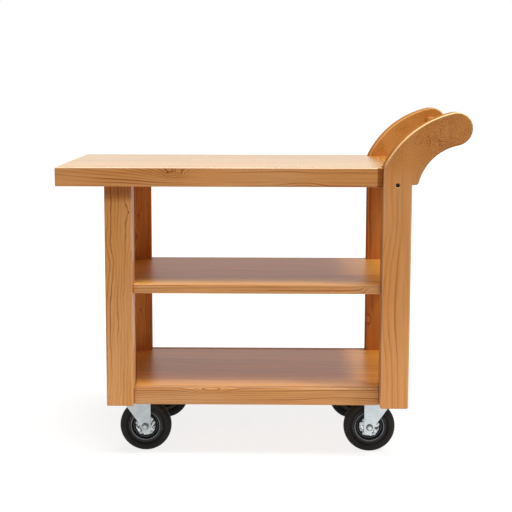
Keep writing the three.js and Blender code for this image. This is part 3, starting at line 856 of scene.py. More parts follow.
    def _late_wood(self, count: Socket) -> Socket:
        """Darken the end of each year, in some years more than in others.

        A year's line is as strong as its own random number says, and fades in and out along
        the grain by noise of its own.

        Args:
            count: The number of years.

        Returns:
            The late wood's strength.
        """
        n, figure = self.n, self.figure
        year = n.work("FLOOR", count)
        band = min(self.WIDEST_BAND, figure.line / figure.ring)
        late = n.ramp(n.work("FRACT", count), (
            (0.0, self.LEFT_OVER), (0.3 * band, 0.0),
            *((1 - back * band, darkness) for back, darkness in self.YEAR_END),
            (1.0, self.LEFT_OVER)))
        kind, _, _ = n.chance(n.work("ADD", year, figure.seed))
        fade = n.add("ShaderNodeCombineXYZ", {
            0: n.times(self.along, 1.9), 1: n.slope(year, 3.7, figure.seed)})
        fading = n.ease(n.noise(fade.outputs[0], detail=1.0), 0.36, 0.60, 0.25, 1.0)
        bold = n.times(n.slope(kind, 0.6, 0.4), fading)
        if self.burl is not None:
            bold = n.work("MAXIMUM", bold, n.times(self.burl, 2.2))
        late = n.times(late, n.times(bold, self.shown), clamp=True)
        if figure.up_lines != 1.0:
            late = n.times(late, n.slope(self.upward, figure.up_lines - 1, 1.0))
        return late

    def _speckle(self) -> Socket:
        """Speckle the wing with fine grit, thicker in some clouds than in others.

        Returns:
            The speckles' strength.
        """
        n = self.n
        grit = n.noise(n.place, scale=340.0, detail=2.0, roughness=0.8)
        cloud = n.noise(n.place, scale=14.0, detail=3.0, roughness=0.6)
        thick = n.ease(cloud, 0.35, 0.65, 0.26, 0.60)
        speckle = n.times(self.wing, n.times(n.ease(grit, 0.42, 0.60), thick))
        return n.times(speckle, self.shown, clamp=True)

    def _wood(self, late: Socket) -> Socket:
        """Colour the wood: patches, faint streaks, late wood, speckles and hearts of knots.

        Args:
            late: The late wood's strength.

        Returns:
            The colour.
        """
        n, pine = self.n, self.pine
        strength = n.times(late, self.figure.lines)
        faint = n.ease(self.streak, 0.35, 0.8, 0.0, 0.16)
        if self.wing is not None:
            strength = n.times(strength, n.slope(self.wing, -0.93, 1.0))
            faint = n.times(faint, n.slope(self.wing, -0.85, 1.0))
        strength = n.times(strength, n.ease(self.streak, 0.25, 0.6, 0.72, 1.0))
        colour = n.blend(n.ease(self.patch, 0.3, 0.7), pine.pale, pine.warm)
        colour = n.blend(faint, colour, pine.late)
        colour = n.blend(strength, colour, pine.late)
        if self.wing is not None:
            colour = n.blend(self._speckle(), colour, pine.late)
        if self.heart is not None:
            colour = n.blend(self.heart, colour, pine.knot)
        return colour

    def _tone(self) -> Socket:
        """Vary the tone by fibres and staves, and darken end grain.

        Returns:
            The factor on the colour.
        """
        n = self.n
        plain: Value = 1.0 if self.wing is None else n.slope(self.wing, -0.85, 1.0)
        tone = n.slope(n.times(n.less(self.fibre, 0.5), plain), 0.34, 1.0)
        if self.figure.stave:
            tone = n.times(tone, self._stave_tone())
        return n.times(tone, n.slope(self.end, -0.2, 1.0))

    def _edges_tone_and_painted_light(self, colour: Socket) -> Socket:
        """Pale the edges, tone the board, and past a place along the grain paint its sides darker as
        painted shade, or lighter as painted light, as the board's factors say.

        The paler edges stand partly for wear and partly for a painted highlight, so edges that look down
        get none, nor do those under the painted shade or light.

        Args:
            colour: The wood's colour.

        Returns:
            The colour.
        """
        n, figure = self.n, self.figure
        edge = n.add("ShaderNodeAttribute", attribute_name="arris").outputs["Fac"]
        # Paler edges are partly wear and partly a painted highlight, so edges that look down get none.
        edge = n.times(edge, n.ease(self.normal[2], -0.4, 0.0, 0.0, figure.wear_and_highlight))
        # Past a place along the grain the sides are painted darker as painted shade, or lighter as painted
        # light, by the board's factors.
        painted_mask: Socket | None = None
        if figure.painted_light_past is not None:
            painted_mask = n.ease(self.along, figure.painted_light_past - figure.painted_light_soft,
                             figure.painted_light_past + figure.painted_light_soft)
            edge = n.times(edge, n.less(1.0, painted_mask))
        colour = n.tinted(n.blend(edge, colour, self.pine.bare), n.grey(self._tone()))
        toned: Value = (*figure.tone, 1.0)
        if self.wing is not None:
            toned = n.blend(self.wing, toned, (*figure.wing_tone, 1.0))
        colour = n.tinted(colour, toned)
        if painted_mask is None:
            return colour
        share = n.times(painted_mask, n.less(1.0, self.upward, clamp=True))
        return n.blend(share, colour, n.tinted(colour, (*figure.painted_light, 1.0)))

    def _face_up(self, colour: Socket) -> Socket:
        """Paint a highlight, streaks, and light and shade on the face that looks up.

        Args:
            colour: The board's colour.

        Returns:
            The colour.
        """
        n, figure = self.n, self.figure
        # A painted highlight along the front of faces that look up, where light catches the near wing's
        # top.
        if figure.bare_before is not None:
            reach = n.slope(self.patch, 0.03, self.parts[1])
            front = n.ease(reach, figure.bare_before, figure.bare_before + 0.022, 1.0, 0.0)
            colour = n.blend(n.times(front, self.upward), colour, self.pine.painted_highlight)
        if figure.streaks:
            colour = n.blend(self.upward, colour, self._streaked(colour))
        # Painted light and shade: the face that looks up gets its own colour, changing from front to back,
        # to offset how it is lit.
        if figure.painted_up_light != PLAIN:
            painted_up_light: Value = (*figure.painted_up_light, 1.0)
            if figure.painted_far_up_light is not None:
                back = n.ease(self.parts[1], -self.TABLE_HALF, self.TABLE_HALF)
                painted_up_light = n.blend(back, painted_up_light, (*figure.painted_far_up_light, 1.0))
            colour = n.blend(self.upward, colour, n.tinted(colour, painted_up_light))
        return colour

    def _streaked(self, colour: Socket) -> Socket:
        """Run long streaks along the grain: one noise shifts the hue and one the level.

        Args:
            colour: The board's colour.

        Returns:
            The colour.
        """
        n, most = self.n, self.figure.streaks
        rosy = (1 + 0.5 * most, 1 - 0.2 * most, 1.0, 1.0)
        yellow = (1 - 0.15 * most, 1 + 0.1 * most, 1 - 0.9 * most, 1.0)
        hue = n.ease(self._pulled_noise(1.1, 6.0, 6.0, roughness=0.6), 0.32, 0.68)
        level = n.sway(self._pulled_noise(0.9, 8.0, 7.0, roughness=0.6), 2 * most, 1.0)
        return n.tinted(n.tinted(colour, n.grey(level)), n.blend(hue, rosy, yellow))

    def _gloss(self, late: Socket) -> Socket:
        """Work out the lacquer's roughness, which differs on late wood, fibres and end grain.

        Args:
            late: The late wood's strength.

        Returns:
            The roughness.
        """
        n, figure = self.n, self.figure
        gloss = n.slope(late, -0.05, figure.gloss)
        if figure.polish is not None:
            gloss = n.slope(self.upward, figure.polish - figure.gloss, gloss)
        return n.slope(self.end, 0.2, n.sway(self.fibre, 0.18, gloss))

    def _sheen(self) -> Value:
        """Give how strongly the lacquer mirrors, from face to face where that differs.

        Returns:
            A number, or the socket of one that depends on where the face looks.
        """
        n, figure = self.n, self.figure
        if figure.front_sheen is None:
            return figure.sheen
        sideways = n.work("ABSOLUTE", self.normal[1])
        return n.ease(sideways, 0.3, 0.8, figure.sheen, figure.front_sheen)


@dataclass(frozen=True)
class Metal:
    """Plated or bare steel with a faint spangle and fine scratches.

    Attributes:
        name: The material's name.
        colour: Colour of the metal.
        patch_colour: Colour of its duller patches: tarnish, and on the wheel disc painted dark
            reflections.
        roughness: Middle roughness.
        metallic: Share of metal.
        patch: Size of strong patches of the duller colour, which paint dark reflections; 0 gives faint
            tarnish patches instead.
    """

    name: str
    colour: Colour
    patch_colour: Colour
    roughness: float
    metallic: float = 1.0
    patch: float = 0.0

    def dress(self) -> Material:
        """Make the material.

        Returns:
            The finished material.
        """
        n = Nodes(bpy.data.materials.new(self.name))
        spangle = n.noise(n.place, scale=160.0, detail=3.0, roughness=0.6)
        cloud = n.noise(n.place, scale=34.0, detail=3.0)
        scratch = n.noise(n.stretched((900, 900, 60)), detail=2.0)
        # Strong patches paint dark reflections on the metal.
        if self.patch:
            cloud = n.noise(n.place, scale=1 / self.patch, detail=2.0, warp=1.5)
            colour = n.blend(n.ease(cloud, 0.46, 0.58, 0.0, 0.95), self.colour, self.patch_colour)
        else:
            colour = n.blend(n.ease(cloud, 0.35, 0.75, 0.0, 0.6), self.colour, self.patch_colour)
            colour = n.blend(n.ease(spangle, 0.4, 0.7, 0.0, 0.35), colour, self.patch_colour)
        gloss = n.sway(scratch, 0.1, n.sway(spangle, 0.22, self.roughness))
        height = n.slope(scratch, 0.5, spangle)
        return n.surface(
            Base_Color=colour, Metallic=self.metallic, Roughness=gloss,
            Normal=n.relief(height, 0.00008, 0.4),
        )


@dataclass(frozen=True)
class Rubber:
    """Moulded black rubber, a little dusty.

    Attributes:
        name: The material's name.
        colour: Colour of the rubber.
        dust: Colour of the dust on it.
    """

    name: str
    colour: Colour
    dust: Colour

    def dress(self) -> Material:
        """Make the material.

        Returns:
            The finished material.
        """
        n = Nodes(bpy.data.materials.new(self.name))
        grit = n.noise(n.place, scale=700.0, detail=3.0, roughness=0.7)
        cloud = n.noise(n.place, scale=22.0, detail=4.0, roughness=0.6)
        colour = n.blend(n.ease(cloud, 0.45, 0.8, 0.0, 0.5), self.colour, self.dust)
        return n.surface(
            Base_Color=colour, Roughness=n.slope(cloud, 0.2, 0.5), Specular_IOR_Level=0.16,
            Normal=n.relief(grit, 0.00012, 0.35),
        )


class Finishes:
    """The finishes that several pieces share, each made once."""

    def __init__(self) -> None:
        """Make the shared materials."""
        self.pine = OiledPine()
        self.zinc = Metal("zinc_plate", tint(208, 216, 220), tint(180, 190, 196), 0.34).dress()
        # Zinc painted darker, standing in for the darker reflections on the casters at the left end.
        self.shaded_zinc = Metal("shaded_zinc", tint(184, 191, 193), tint(150, 158, 162), 0.34).dress()
        self.rim_steel = Metal("rim_steel", tint(120, 122, 124), tint(70, 72, 74), 0.36).dress()
        self.nut_steel = Metal("nut_steel", tint(156, 159, 162), tint(96, 98, 100), 0.36).dress()
        self.dark_steel = Metal("dark_steel", tint(66, 62, 58), tint(40, 37, 35), 0.42).dress()
        self.rubber = Rubber("tyre_rubber", tint(31, 30, 29), tint(54, 50, 46)).dress()
        # Black that paints shade in the rim's hollows and on its side towards the table.
        self.shade_black = Metal("shade_black", tint(12, 12, 12), tint(7, 7, 7), 0.55, 0.0).dress()
        # Zinc with strong dark patches that paint broken reflections on the wheel disc.
        self.disc_zinc = Metal(
            "disc_zinc", tint(216, 220, 222), tint(40, 41, 43), 0.30, patch=0.010).dress()


# ---- pieces


def placed_object(name: str, data: bpy.types.ID | None) -> bpy.types.Object:
    """Make an object and put it into the scene.

    Args:
        name: The object's name.
        data: Its mesh, camera or lamp.

    Returns:
        The object.
    """
    made = bpy.data.objects.new(name, data)
    bpy.context.scene.collection.objects.link(made)
    return made


def show(form: Form, name: str, materials: Iterable[Material], body: str,
         stands_for: Sequence[str] = (), sharp: float = 40.0) -> bpy.types.Object:
    """Put a form into the scene as one piece of the table.

    Args:
        form: The form.
        name: The piece's name.
        materials: Its materials, in the order of the form's finish numbers.
        body: The body that it rides on.
        stands_for: The solids that it is shown in place of.
        sharp: Angle in degrees past which an edge is a crease.

    Returns:
        The object.
    """
    mesh = form.mesh(name, sharp)
    for material in materials:
        mesh.materials.append(material)
    made = placed_object(name, mesh)
    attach(made, body)
    if stands_for:
        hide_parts(*stands_for)
    LOG.info("piece %s: %d faces on %s", name, len(mesh.polygons), body)
    return made


def bored(form: Form, cutter: Form) -> Form:
    """Cut another form out of a form and keep the result as a form.

    Args:
        form: The form that is cut.
        cutter: Closed form to take away.

    Returns:
        The cut form.
    """
    whole = placed_object("whole", form.mesh("whole"))
    tool = placed_object("tool", cutter.mesh("tool"))
    cut = whole.modifiers.new("cut", "BOOLEAN")
    cut.operation = "DIFFERENCE"
    cut.solver = "EXACT"
    cut.object = tool
    bpy.context.view_layer.update()
    done = whole.evaluated_get(bpy.context.evaluated_depsgraph_get()).to_mesh()
    result = Form()
    result.points = np.array([v.co for v in done.vertices], float)
    result.faces = [tuple(p.vertices) for p in done.polygons]
    result.finishes = [0] * len(result.faces)
    result.arris = np.zeros(len(result.points))
    done.attributes["arris"].data.foreach_get("value", result.arris)
    for item in (whole, tool):
        mesh = item.data
        bpy.data.objects.remove(item)
        bpy.data.meshes.remove(mesh)
    return result


@dataclass
class Woodwork:
    """A part of the table's wooden frame.

    Attributes:
        finishes: The shared finishes.
    """

    finishes: Finishes

    def show_board(self, form: Form, name: str, figure: Figure, slot: str, node: str) -> None:
        """Dress a form as a board of pine and show it in place of its solid."""
        show(form, name, [self.finishes.pine.dress(figure)], "frame", [node])

    def show_rail(self, node: str, figure: Figure, slot: str) -> None:
        """Show a rail by its solid's box, without the tenons that are hidden in the legs.

        Args:
            node: The solid.
            figure: How the rail was sawn.
            slot: Name of a material slot. It is not used.
        """
        tenon = 0.025
        low, high = (list(corner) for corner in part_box(node))
        axis = 0 if high[0] - low[0] > high[1] - low[1] else 1
        low[axis] += tenon
        high[axis] -= tenon
        name = node.replace("_rail", "_bar").replace("_bearer", "_batten")
        self.show_board(board(low, high, axis), name, figure, slot, node)


@dataclass
class WorkTop(Woodwork):
    """The thick top of glued staves.

    Attributes:
        ease: Radius of its eased edges.
        painted_shade_width: Width of the painted shade on its sides at the right end, where the handle
            legs shade it.
    """

    ease: float = 0.0032
    painted_shade_width: float = 0.016

    def build(self) -> None:
        """Make the top, with a notch for each handle leg."""
        low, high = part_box("butcher_block_top")
        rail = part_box("handle_end_rail")
        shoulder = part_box("front_handle_leg")[0].x - GLUE_GAP
        end = rail[0].x - GLUE_GAP
        inner = rail[1].y
        corners = [
            (low.x, low.y), (shoulder, low.y), (shoulder, -inner), (end, -inner),
            (end, inner), (shoulder, inner), (shoulder, high.y), (low.x, high.y),
        ]
        edge = self.ease * CORNER_SHARE
        outline = rounded(corners, [edge, edge, NOTCH_CORNER, edge, edge, NOTCH_CORNER, edge, edge])
        form = plate(outline, 2, low.z, high.z, self.ease)
        figure = Figure(
            "pine_top", Grain.X, (-0.29, 0.66), lean=(0.0, 0.0), ring=0.0092, wave=0.005,
            wander=(2.2, 7.0), stave=0.053, stave_from=low.y, lines=0.75, polish=0.22,
            # The face that looks up gets painted shade, darker towards the back, to offset how strongly it
            # is lit.
            painted_up_light=(0.640, 0.757, 0.432), painted_far_up_light=(0.532, 0.637, 0.420), up_lines=0.15,
            # Its upward edges are paler for wear and a painted highlight along the front arris.
            tone=(1.165, 1.235, 1.50), sheen=0.25, front_sheen=0.06, wear_and_highlight=0.55,
            # Painted shade on the sides at the right end, for the handle legs' shadow.
            painted_light_past=shoulder - self.painted_shade_width, streaks=0.12, seed=1.0,
            knots=(
                Knot((-0.600, 0.850), (0.140, 0.050), -0.016),
                Knot((-0.262, 0.862), (0.085, 0.052), 0.030),
                Knot((-0.248, 0.830), (0.044, 0.017), 0.014, burl=0.015),
                Knot((-0.264, 0.832), (0.016, 0.010), 0.008, core=0.0034),
                Knot((-0.226, 0.829), (0.012, 0.008), 0.007, core=0.0022),
                Knot((-0.560, 0.806), (0.090, 0.018), 0.0, quiet=0.9),
                Knot((-0.370, 0.815), (0.090, 0.034), 0.0, quiet=-0.6),
                Knot((0.060, 0.842), (0.050, 0.016), -0.004),
                Knot((0.170, 0.842), (0.050, 0.016), 0.004),
                Knot((0.110, 0.790), (0.050, 0.020), -0.012),
                Knot((0.100, 0.820), (0.300, 0.012), 0.0, quiet=0.9),
                Knot((-0.120, 0.820), (0.055, 0.040), 0.0, quiet=0.7),
            ),
        )
        self.show_board(form, "work_top", figure, "pine_panels", "butcher_block_top")


@dataclass
class Legs(Woodwork):
    """The two square legs under the top's left end.

    Attributes:
        ease: Radius of their eased edges.
    """

    ease: float = 0.002

    def build(self) -> None:
        """Make both legs, from their foot to the underside of the top."""
        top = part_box("butcher_block_top")[0].z
        figures = {
            "front_left_leg": Figure(
                "pine_front_left_leg", Grain.Z, (-0.56, -0.27), lean=(0.02, 0.0), ring=0.0098,
                wave=0.013, wander=(7.0, 13.0), lines=0.86, line=0.0017, crumple=0.0048,
                # Painted shade on the sides above 0.752 m, for the top's shadow under its overhang.
                sheen=0.3, front_sheen=0.06, tone=(0.825, 0.89, 1.07), painted_light_past=0.752,
                painted_light=(0.84, 0.68, 0.60), painted_light_soft=0.009, seed=3.0,
                knots=(Knot((-0.376, 0.718), (0.010, 0.03), -0.010, core=0.0035),),
            ),
            "rear_left_leg": Figure(
                "pine_rear_left_leg", Grain.Z, (-0.50, 0.17), lean=(0.015, 0.02), ring=0.0068,
                wave=0.009, wander=(3.4, 14.0), lines=0.7, line=0.0015, crumple=0.0026,
                tone=(0.95, 0.80, 0.66), sheen=0.0, front_sheen=0.06, seed=4.0,
                knots=(
                    Knot((-0.405, 0.652), (0.012, 0.022), 0.007, core=0.0030),
                    Knot((-0.398, 0.585), (0.016, 0.034), -0.014),
                    Knot((-0.400, 0.345), (0.012, 0.026), 0.008, core=0.003),
                ),
            ),
        }
        for name, figure in figures.items():
            low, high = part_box(name)
            form = board(low, (high.x, high.y, top - GLUE_GAP), 2, self.ease)
            self.show_board(form, name.replace("_leg", "_post"), figure, "pine_frame", name)


@dataclass
class HandleLegs(Woodwork):
    """The two legs that rise past the top and sweep out into wings, with their bolts.

    Angles are headings above the horizontal. Each arc of a wing touches the one before it.

    Attributes:
        width: The leg's width along the table.
        top_height: Height of the working face.
        root_drop: How far below it the wing starts.
        arcs: Radius and final heading of each arc.
        heading: First heading.
        ease: Radius of the long edges.
        recess: Diameter and depth of the bolt's hole.
        lip: Width of the chamfer at the hole's mouth.
        bolt: Diameter and height of the bolt's head.
        bolt_drop: How far below the working face the bolt is.
        arc_facet: Longest facet of an arc, and its greatest turn in radians.
    """

    width: float = 0.080
    top_height: float = 0.845
    root_drop: float = 0.012
    arcs: tuple[Pair, ...] = (
        (0.0435, 62.7), (0.282, 13.2), (0.0435, -90.0), (0.049, -168.6), (0.138, -104.0),
        (0.010, -180.0),
    )
    heading: float = 90.0
    ease: float = 0.0042
    recess: Pair = (0.012, 0.014)
    lip: float = 0.0006
    bolt: Pair = (0.010, 0.006)
    bolt_drop: float = 0.048
    arc_facet: Pair = (0.004, 0.09)

    def outline(self, inner: float, foot: float, limit: Pair) -> np.ndarray:
        """Walk round the leg and its wing.

        Going round an arc from one heading to the next, the place moves by the radius times
        the change of the heading's sine and cosine.

        Args:
            inner: Place of the face towards the bay.
            foot: Height of the leg's foot.
            limit: Greatest place along the table and greatest height.

        Returns:
            Points as height and place along the table, in order.
        """
        at = np.array([inner, self.top_height - self.root_drop])
        heading = math.radians(self.heading)
        walk = [at[None]]
        for radius, degrees in self.arcs:
            goal = math.radians(degrees)
            side = 1 if goal < heading else -1
            swing = abs(goal - heading)
            count = max(5, int(swing * radius / self.arc_facet[0]), int(swing / self.arc_facet[1]))
            turn = np.linspace(heading, goal, count + 1)[1:]
            moves = side * radius * np.stack(
                [math.sin(heading) - np.sin(turn), np.cos(turn) - math.cos(heading)], axis=1)
            walk.append(at + moves)
            at, heading = at + moves[-1], goal
        outer = inner + self.width
        hold = 0.0004
        neck = np.array([[outer, at[1]], [outer, at[1] - hold]])
        foot_points = 14
        corners = [(outer, foot), (inner, foot), (inner, foot + self.width), (outer, foot + self.width)]
        base = rounded(corners, self.ease * CORNER_SHARE)[:foot_points]
        straight = np.linspace(0.02, 0.98, 12)[:, None]
        fall = neck[-1] + (base[0] - neck[-1]) * straight
        rise = base[-1] + (walk[0][0] - base[-1]) * straight
        run = np.minimum(np.vstack([neck, fall, base, rise, *walk]), limit)
        return run[:, ::-1]

    def build(self) -> None:
        """Make both handle legs with their recesses, and the bolts in them."""
        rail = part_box("handle_end_rail")
        bolt_x = (rail[0].x + rail[1].x) / 2
        bolt_z = self.top_height - self.bolt_drop
        inner_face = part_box("front_handle_leg")[0].x
        figures = {
            "front": Figure(
                "pine_front_handle_leg", Grain.Z, (0.42, -0.29), lean=(0.0, 0.0), ring=0.013,
                wave=0.010, wander=(2.0, 7.0), lines=0.7, line=0.0022, speckle_from=0.825,
                tone=(0.885, 0.93, 1.13), wing_tone=(0.83, 0.80, 0.79), wear_and_highlight=0.2, seed=7.0,
                # A painted highlight along the front of the near wing's top.
                up_from=0.3, sheen=0.0, front_sheen=0.06, bare_before=-0.305,
                knots=(
                    Knot((0.462, 0.925), (0.060, 0.045), 0.0, quiet=-0.75),
                    Knot((0.335, 0.440), (0.050, 0.130), -0.014),
                    Knot((0.345, 0.690), (0.040, 0.070), 0.010),
                    Knot((0.409, 0.45), (0.026, 0.60), 0.0, quiet=0.95),
                    Knot((0.345, 0.833), (0.008, 0.014), 0.006),
                ),
            ),
            "rear": Figure(
                "pine_rear_handle_leg", Grain.Z, (0.36, 0.18), lean=(0.02, 0.01), ring=0.010,
                wave=0.010, lines=0.8, tone=(0.88, 0.73, 0.58), sheen=0.0, front_sheen=0.06,
                speckle_from=0.83, wing_tone=(0.94, 0.92, 0.76), seed=8.0, wear_and_highlight=0.3,
                knots=(
                    Knot((0.346, 0.312), (0.009, 0.018), 0.012),
                    Knot((0.44, 0.92), (0.12, 0.08), 0.0, quiet=0.45),
                    Knot((0.440, 0.934), (0.026, 0.012), 0.0, quiet=-1.4),
                    Knot((0.380, 0.876), (0.010, 0.022), 0.0, quiet=-1.2),
                ),
            ),
        }
        for place, side in (("front", -1), ("rear", 1)):
            low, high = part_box(f"{place}_handle_leg")
            form = plate(self.outline(inner_face, low.z, (high.x, high.z)), 1, low.y, high.y, self.ease)
            face = side * abs(low.y if side < 0 else high.y)
            radius, bottom = self.recess[0] / 2, face - side * self.recess[1]
            lip, past = self.lip, face + side * 0.002
            hole = turned([
                (0, bottom), (radius, bottom), (radius, face - side * lip),
                (radius + lip, face), (radius + lip, past), (0, past),
            ], 48, 1, (bolt_x, 0, bolt_z), closed=False)
            self.show_board(bored(form, hole), f"{place}_handle_post", figures[place], "pine_frame",
                            f"{place}_handle_leg")
            self._bolt(place, side, bottom, (bolt_x, 0, bolt_z))

    def _bolt(self, place: str, side: int, bottom: float, centre: Triple) -> None:
        """Make the head of one handle bolt, with its six-sided socket.

        Args:
            place: Which side it is on.
            side: -1 for the front or 1 for the rear.
            bottom: Place of the recess's bottom.
            centre: A point on the bolt's axis.
        """
        radius, height = self.bolt[0] / 2, self.bolt[1]
        key, key_depth, seated = 0.005, 0.003, 0.0003
        seat = bottom + side * seated
        end = seat + side * height
        head = turned([
            (0, seat), (radius - 0.0002, seat), (radius, seat + side * 0.0002),
            (radius, end - side * 0.0009), (radius - 0.0003, end - side * 0.0004),
            (radius - 0.0010, end), (0, end),
        ], 48, 1, centre, closed=False)
        socket = hexagon(key, end - side * key_depth, end + side * 0.002, 1, centre, 0.00001)
        show(bored(head, socket), f"{place}_bolt_head", [self.finishes.dark_steel], "frame",
             [f"{place}_handle_bolt"], sharp=30)


@dataclass
class Handle(Woodwork):
    """The round bar between the wings and the rail under it between the handle legs.

    Attributes:
        ease: Radius of the rail's eased edges.
        chamfer: Width of the chamfer at the bar's ends.
    """

    ease: float = 0.0012
    chamfer: float = 0.0015

    def build(self) -> None:
        """Make the bar and the end rail."""
        low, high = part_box("handle_bar")
        radius, chamfer = (high.z - low.z) / 2, self.chamfer
        centre = ((low.x + high.x) / 2, 0, (low.z + high.z) / 2)
        bar = turned([
            (0, low.y), (radius - chamfer, low.y), (radius, low.y + chamfer),
            (radius, low.y / 2), (radius, high.y / 2),
            (radius, high.y - chamfer), (radius - chamfer, high.y), (0, high.y),
        ], 64, 1, centre, closed=False)
        figure = Figure(
            "pine_bar", Grain.Y, (centre[2] + 0.02, centre[0] - 0.03), lean=(0.02, -0.03),
            ring=0.006, wave=0.004, wander=(4.0, 20.0), tone=(0.86, 0.78, 0.68), sheen=0.06, seed=11.0,
        )
        self.show_board(bar, "grip_bar", figure, "pine_panels", "handle_bar")
        low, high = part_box("handle_end_rail")
        figure = Figure(
            "pine_end_rail", Grain.Y, (0.95, 0.41), lean=(0.03, 0.0), ring=0.007, wave=0.008,
            polish=0.22, sheen=0.25, tone=(1.12, 1.10, 1.0), painted_up_light=(0.72, 0.74, 0.60), seed=12.0,
        )
        rail = board(low, high, 1, self.ease)
        self.show_board(rail, "handle_rail", figure, "pine_frame", "handle_end_rail")


@dataclass
class Shelf(Woodwork):
    """The middle shelf, notched round all four legs, with the rails that carry it.

    Attributes:
        ease: Radius of the shelf's eased edges.
    """

    ease: float = 0.0026

    def build(self) -> None:
        """Make the shelf, its two bearers and the rail under the top."""
        low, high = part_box("middle_shelf")
        form = plate(notched(low, high, self.ease), 2, low.z, high.z, self.ease)
        figure = Figure(
            "pine_shelf", Grain.X, (-0.10, 0.62), lean=(0.0, 0.004), ring=0.0052, wave=0.005,
            wander=(1.8, 9.0), stave=0.094, stave_from=low.y, lines=0.95, line=0.0015, polish=0.37,
            tone=(1.12, 1.31, 1.84), painted_up_light=(0.80, 0.78, 0.40), painted_far_up_light=(0.90, 0.85, 0.38),
            # Painted light on the front's right end, lifting the handle leg's shadow there.
            sheen=0.19, streaks=0.14, up_lines=0.8, painted_light_past=0.24, painted_light=(1.18, 1.27, 1.45),
            painted_light_soft=0.06, seed=15.0,
            knots=(Knot((0.315, 0.500), (0.030, 0.014), 0.012, quiet=0.35),),
        )
        self.show_board(form, "shelf_panel", figure, "pine_panels", "middle_shelf")
        rails = (
            ("left_shelf_bearer", "pine_left_bearer", (0.35, -0.5), 0.007, 16.0),
            ("right_shelf_bearer", "pine_right_bearer", (0.33, 0.5), 0.009, 17.0),
            ("upper_end_rail", "pine_upper_rail", (0.92, -0.38), 0.008, 18.0),
        )
        for name, finish, pith, ring, seed in rails:
            self.show_rail(name, Figure(finish, Grain.Y, pith, ring=ring, seed=seed), "pine_frame")


@dataclass
class Deck(Woodwork):
    """The bottom deck: a panel framed by four rails.

    Attributes:
        tongue: Length of the panel's tongue in the rails.
        ease: Radius of the panel's eased edges.
    """

    tongue: float = 0.010
    ease: float = 0.0008

    def build(self) -> None:
        """Make the panel and its four rails."""
        low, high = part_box("bottom_deck")
        inner_low = (low.x + self.tongue, low.y + self.tongue, low.z)
        inner_high = (high.x - self.tongue, high.y - self.tongue, high.z)
        form = plate(notched(inner_low, inner_high, self.ease), 2, low.z, high.z, self.ease)
        figure = Figure(
            "pine_deck", Grain.X, (-0.14, 0.33), lean=(0.02, -0.01), ring=0.009, wave=0.008,
            wander=(2.4, 9.0), stave=0.0913, stave_from=inner_low[1], lines=0.75, polish=0.34,
            tone=(1.05, 1.12, 0.86), painted_up_light=(0.77, 0.76, 0.62), painted_far_up_light=(1.04, 1.00, 0.84),
            sheen=0.21, streaks=0.14, up_lines=0.8, seed=21.0,
        )
        self.show_board(form, "deck_panel", figure, "pine_panels", "bottom_deck")
        self.show_rail("front_deck_rail", Figure(
            "pine_front_deck_rail", Grain.X, (-0.34, 0.44), lean=(0.0, 0.008), ring=0.0066,
            wave=0.004, wander=(3.4, 20.0), lines=1.0, line=0.0017, tone=(0.78, 0.89, 1.22),
            painted_up_light=(0.86, 0.95, 1.0), seed=22.0,
            knots=(
                Knot((-0.145, 0.204), (0.050, 0.012), -0.020),
                Knot((0.22, 0.176), (0.07, 0.014), 0.008),
            ),
        ), "pine_panels")
        rails = (
            ("rear_deck_rail", Grain.X, (0.36, 0.40), (0.0, -0.008), 0.008, 23.0),
            ("left_deck_rail", Grain.Y, (0.40, -0.45), (0.02, 0.0), 0.008, 24.0),
            ("right_deck_rail", Grain.Y, (0.38, 0.46), (0.02, 0.0), 0.009, 25.0),
        )
        for node, grain, pith, lean, ring, seed in rails:
            figure = Figure(f"pine_{node}", grain, pith, lean, ring, seed=seed)
            self.show_rail(node, figure, "pine_panels")


def notched(low: Sequence[float], high: Sequence[float], ease: float) -> np.ndarray:
    """Draw a panel's outline with a notch at each corner for the leg that stands there.

    Args:
        low: Lowest corner of the panel.
        high: Highest corner of the panel.
        ease: Radius of the panel's eased edges.

    Returns:
        The outline in X and Y.
    """
    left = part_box("front_left_leg")[1]
    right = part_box("front_handle_leg")
    left_x, right_x = left.x + GLUE_GAP, right[0].x - GLUE_GAP
    left_y, right_y = -left.y - GLUE_GAP, -right[1].y - GLUE_GAP
    corners = [
        (left_x, low[1]), (right_x, low[1]), (right_x, -right_y), (high[0], -right_y),
        (high[0], right_y), (right_x, right_y), (right_x, high[1]), (left_x, high[1]),
        (left_x, left_y), (low[0], left_y), (low[0], -left_y), (left_x, -left_y),
    ]
    edge = ease * CORNER_SHARE
    return rounded(corners, [edge, edge, NOTCH_CORNER] * 4)


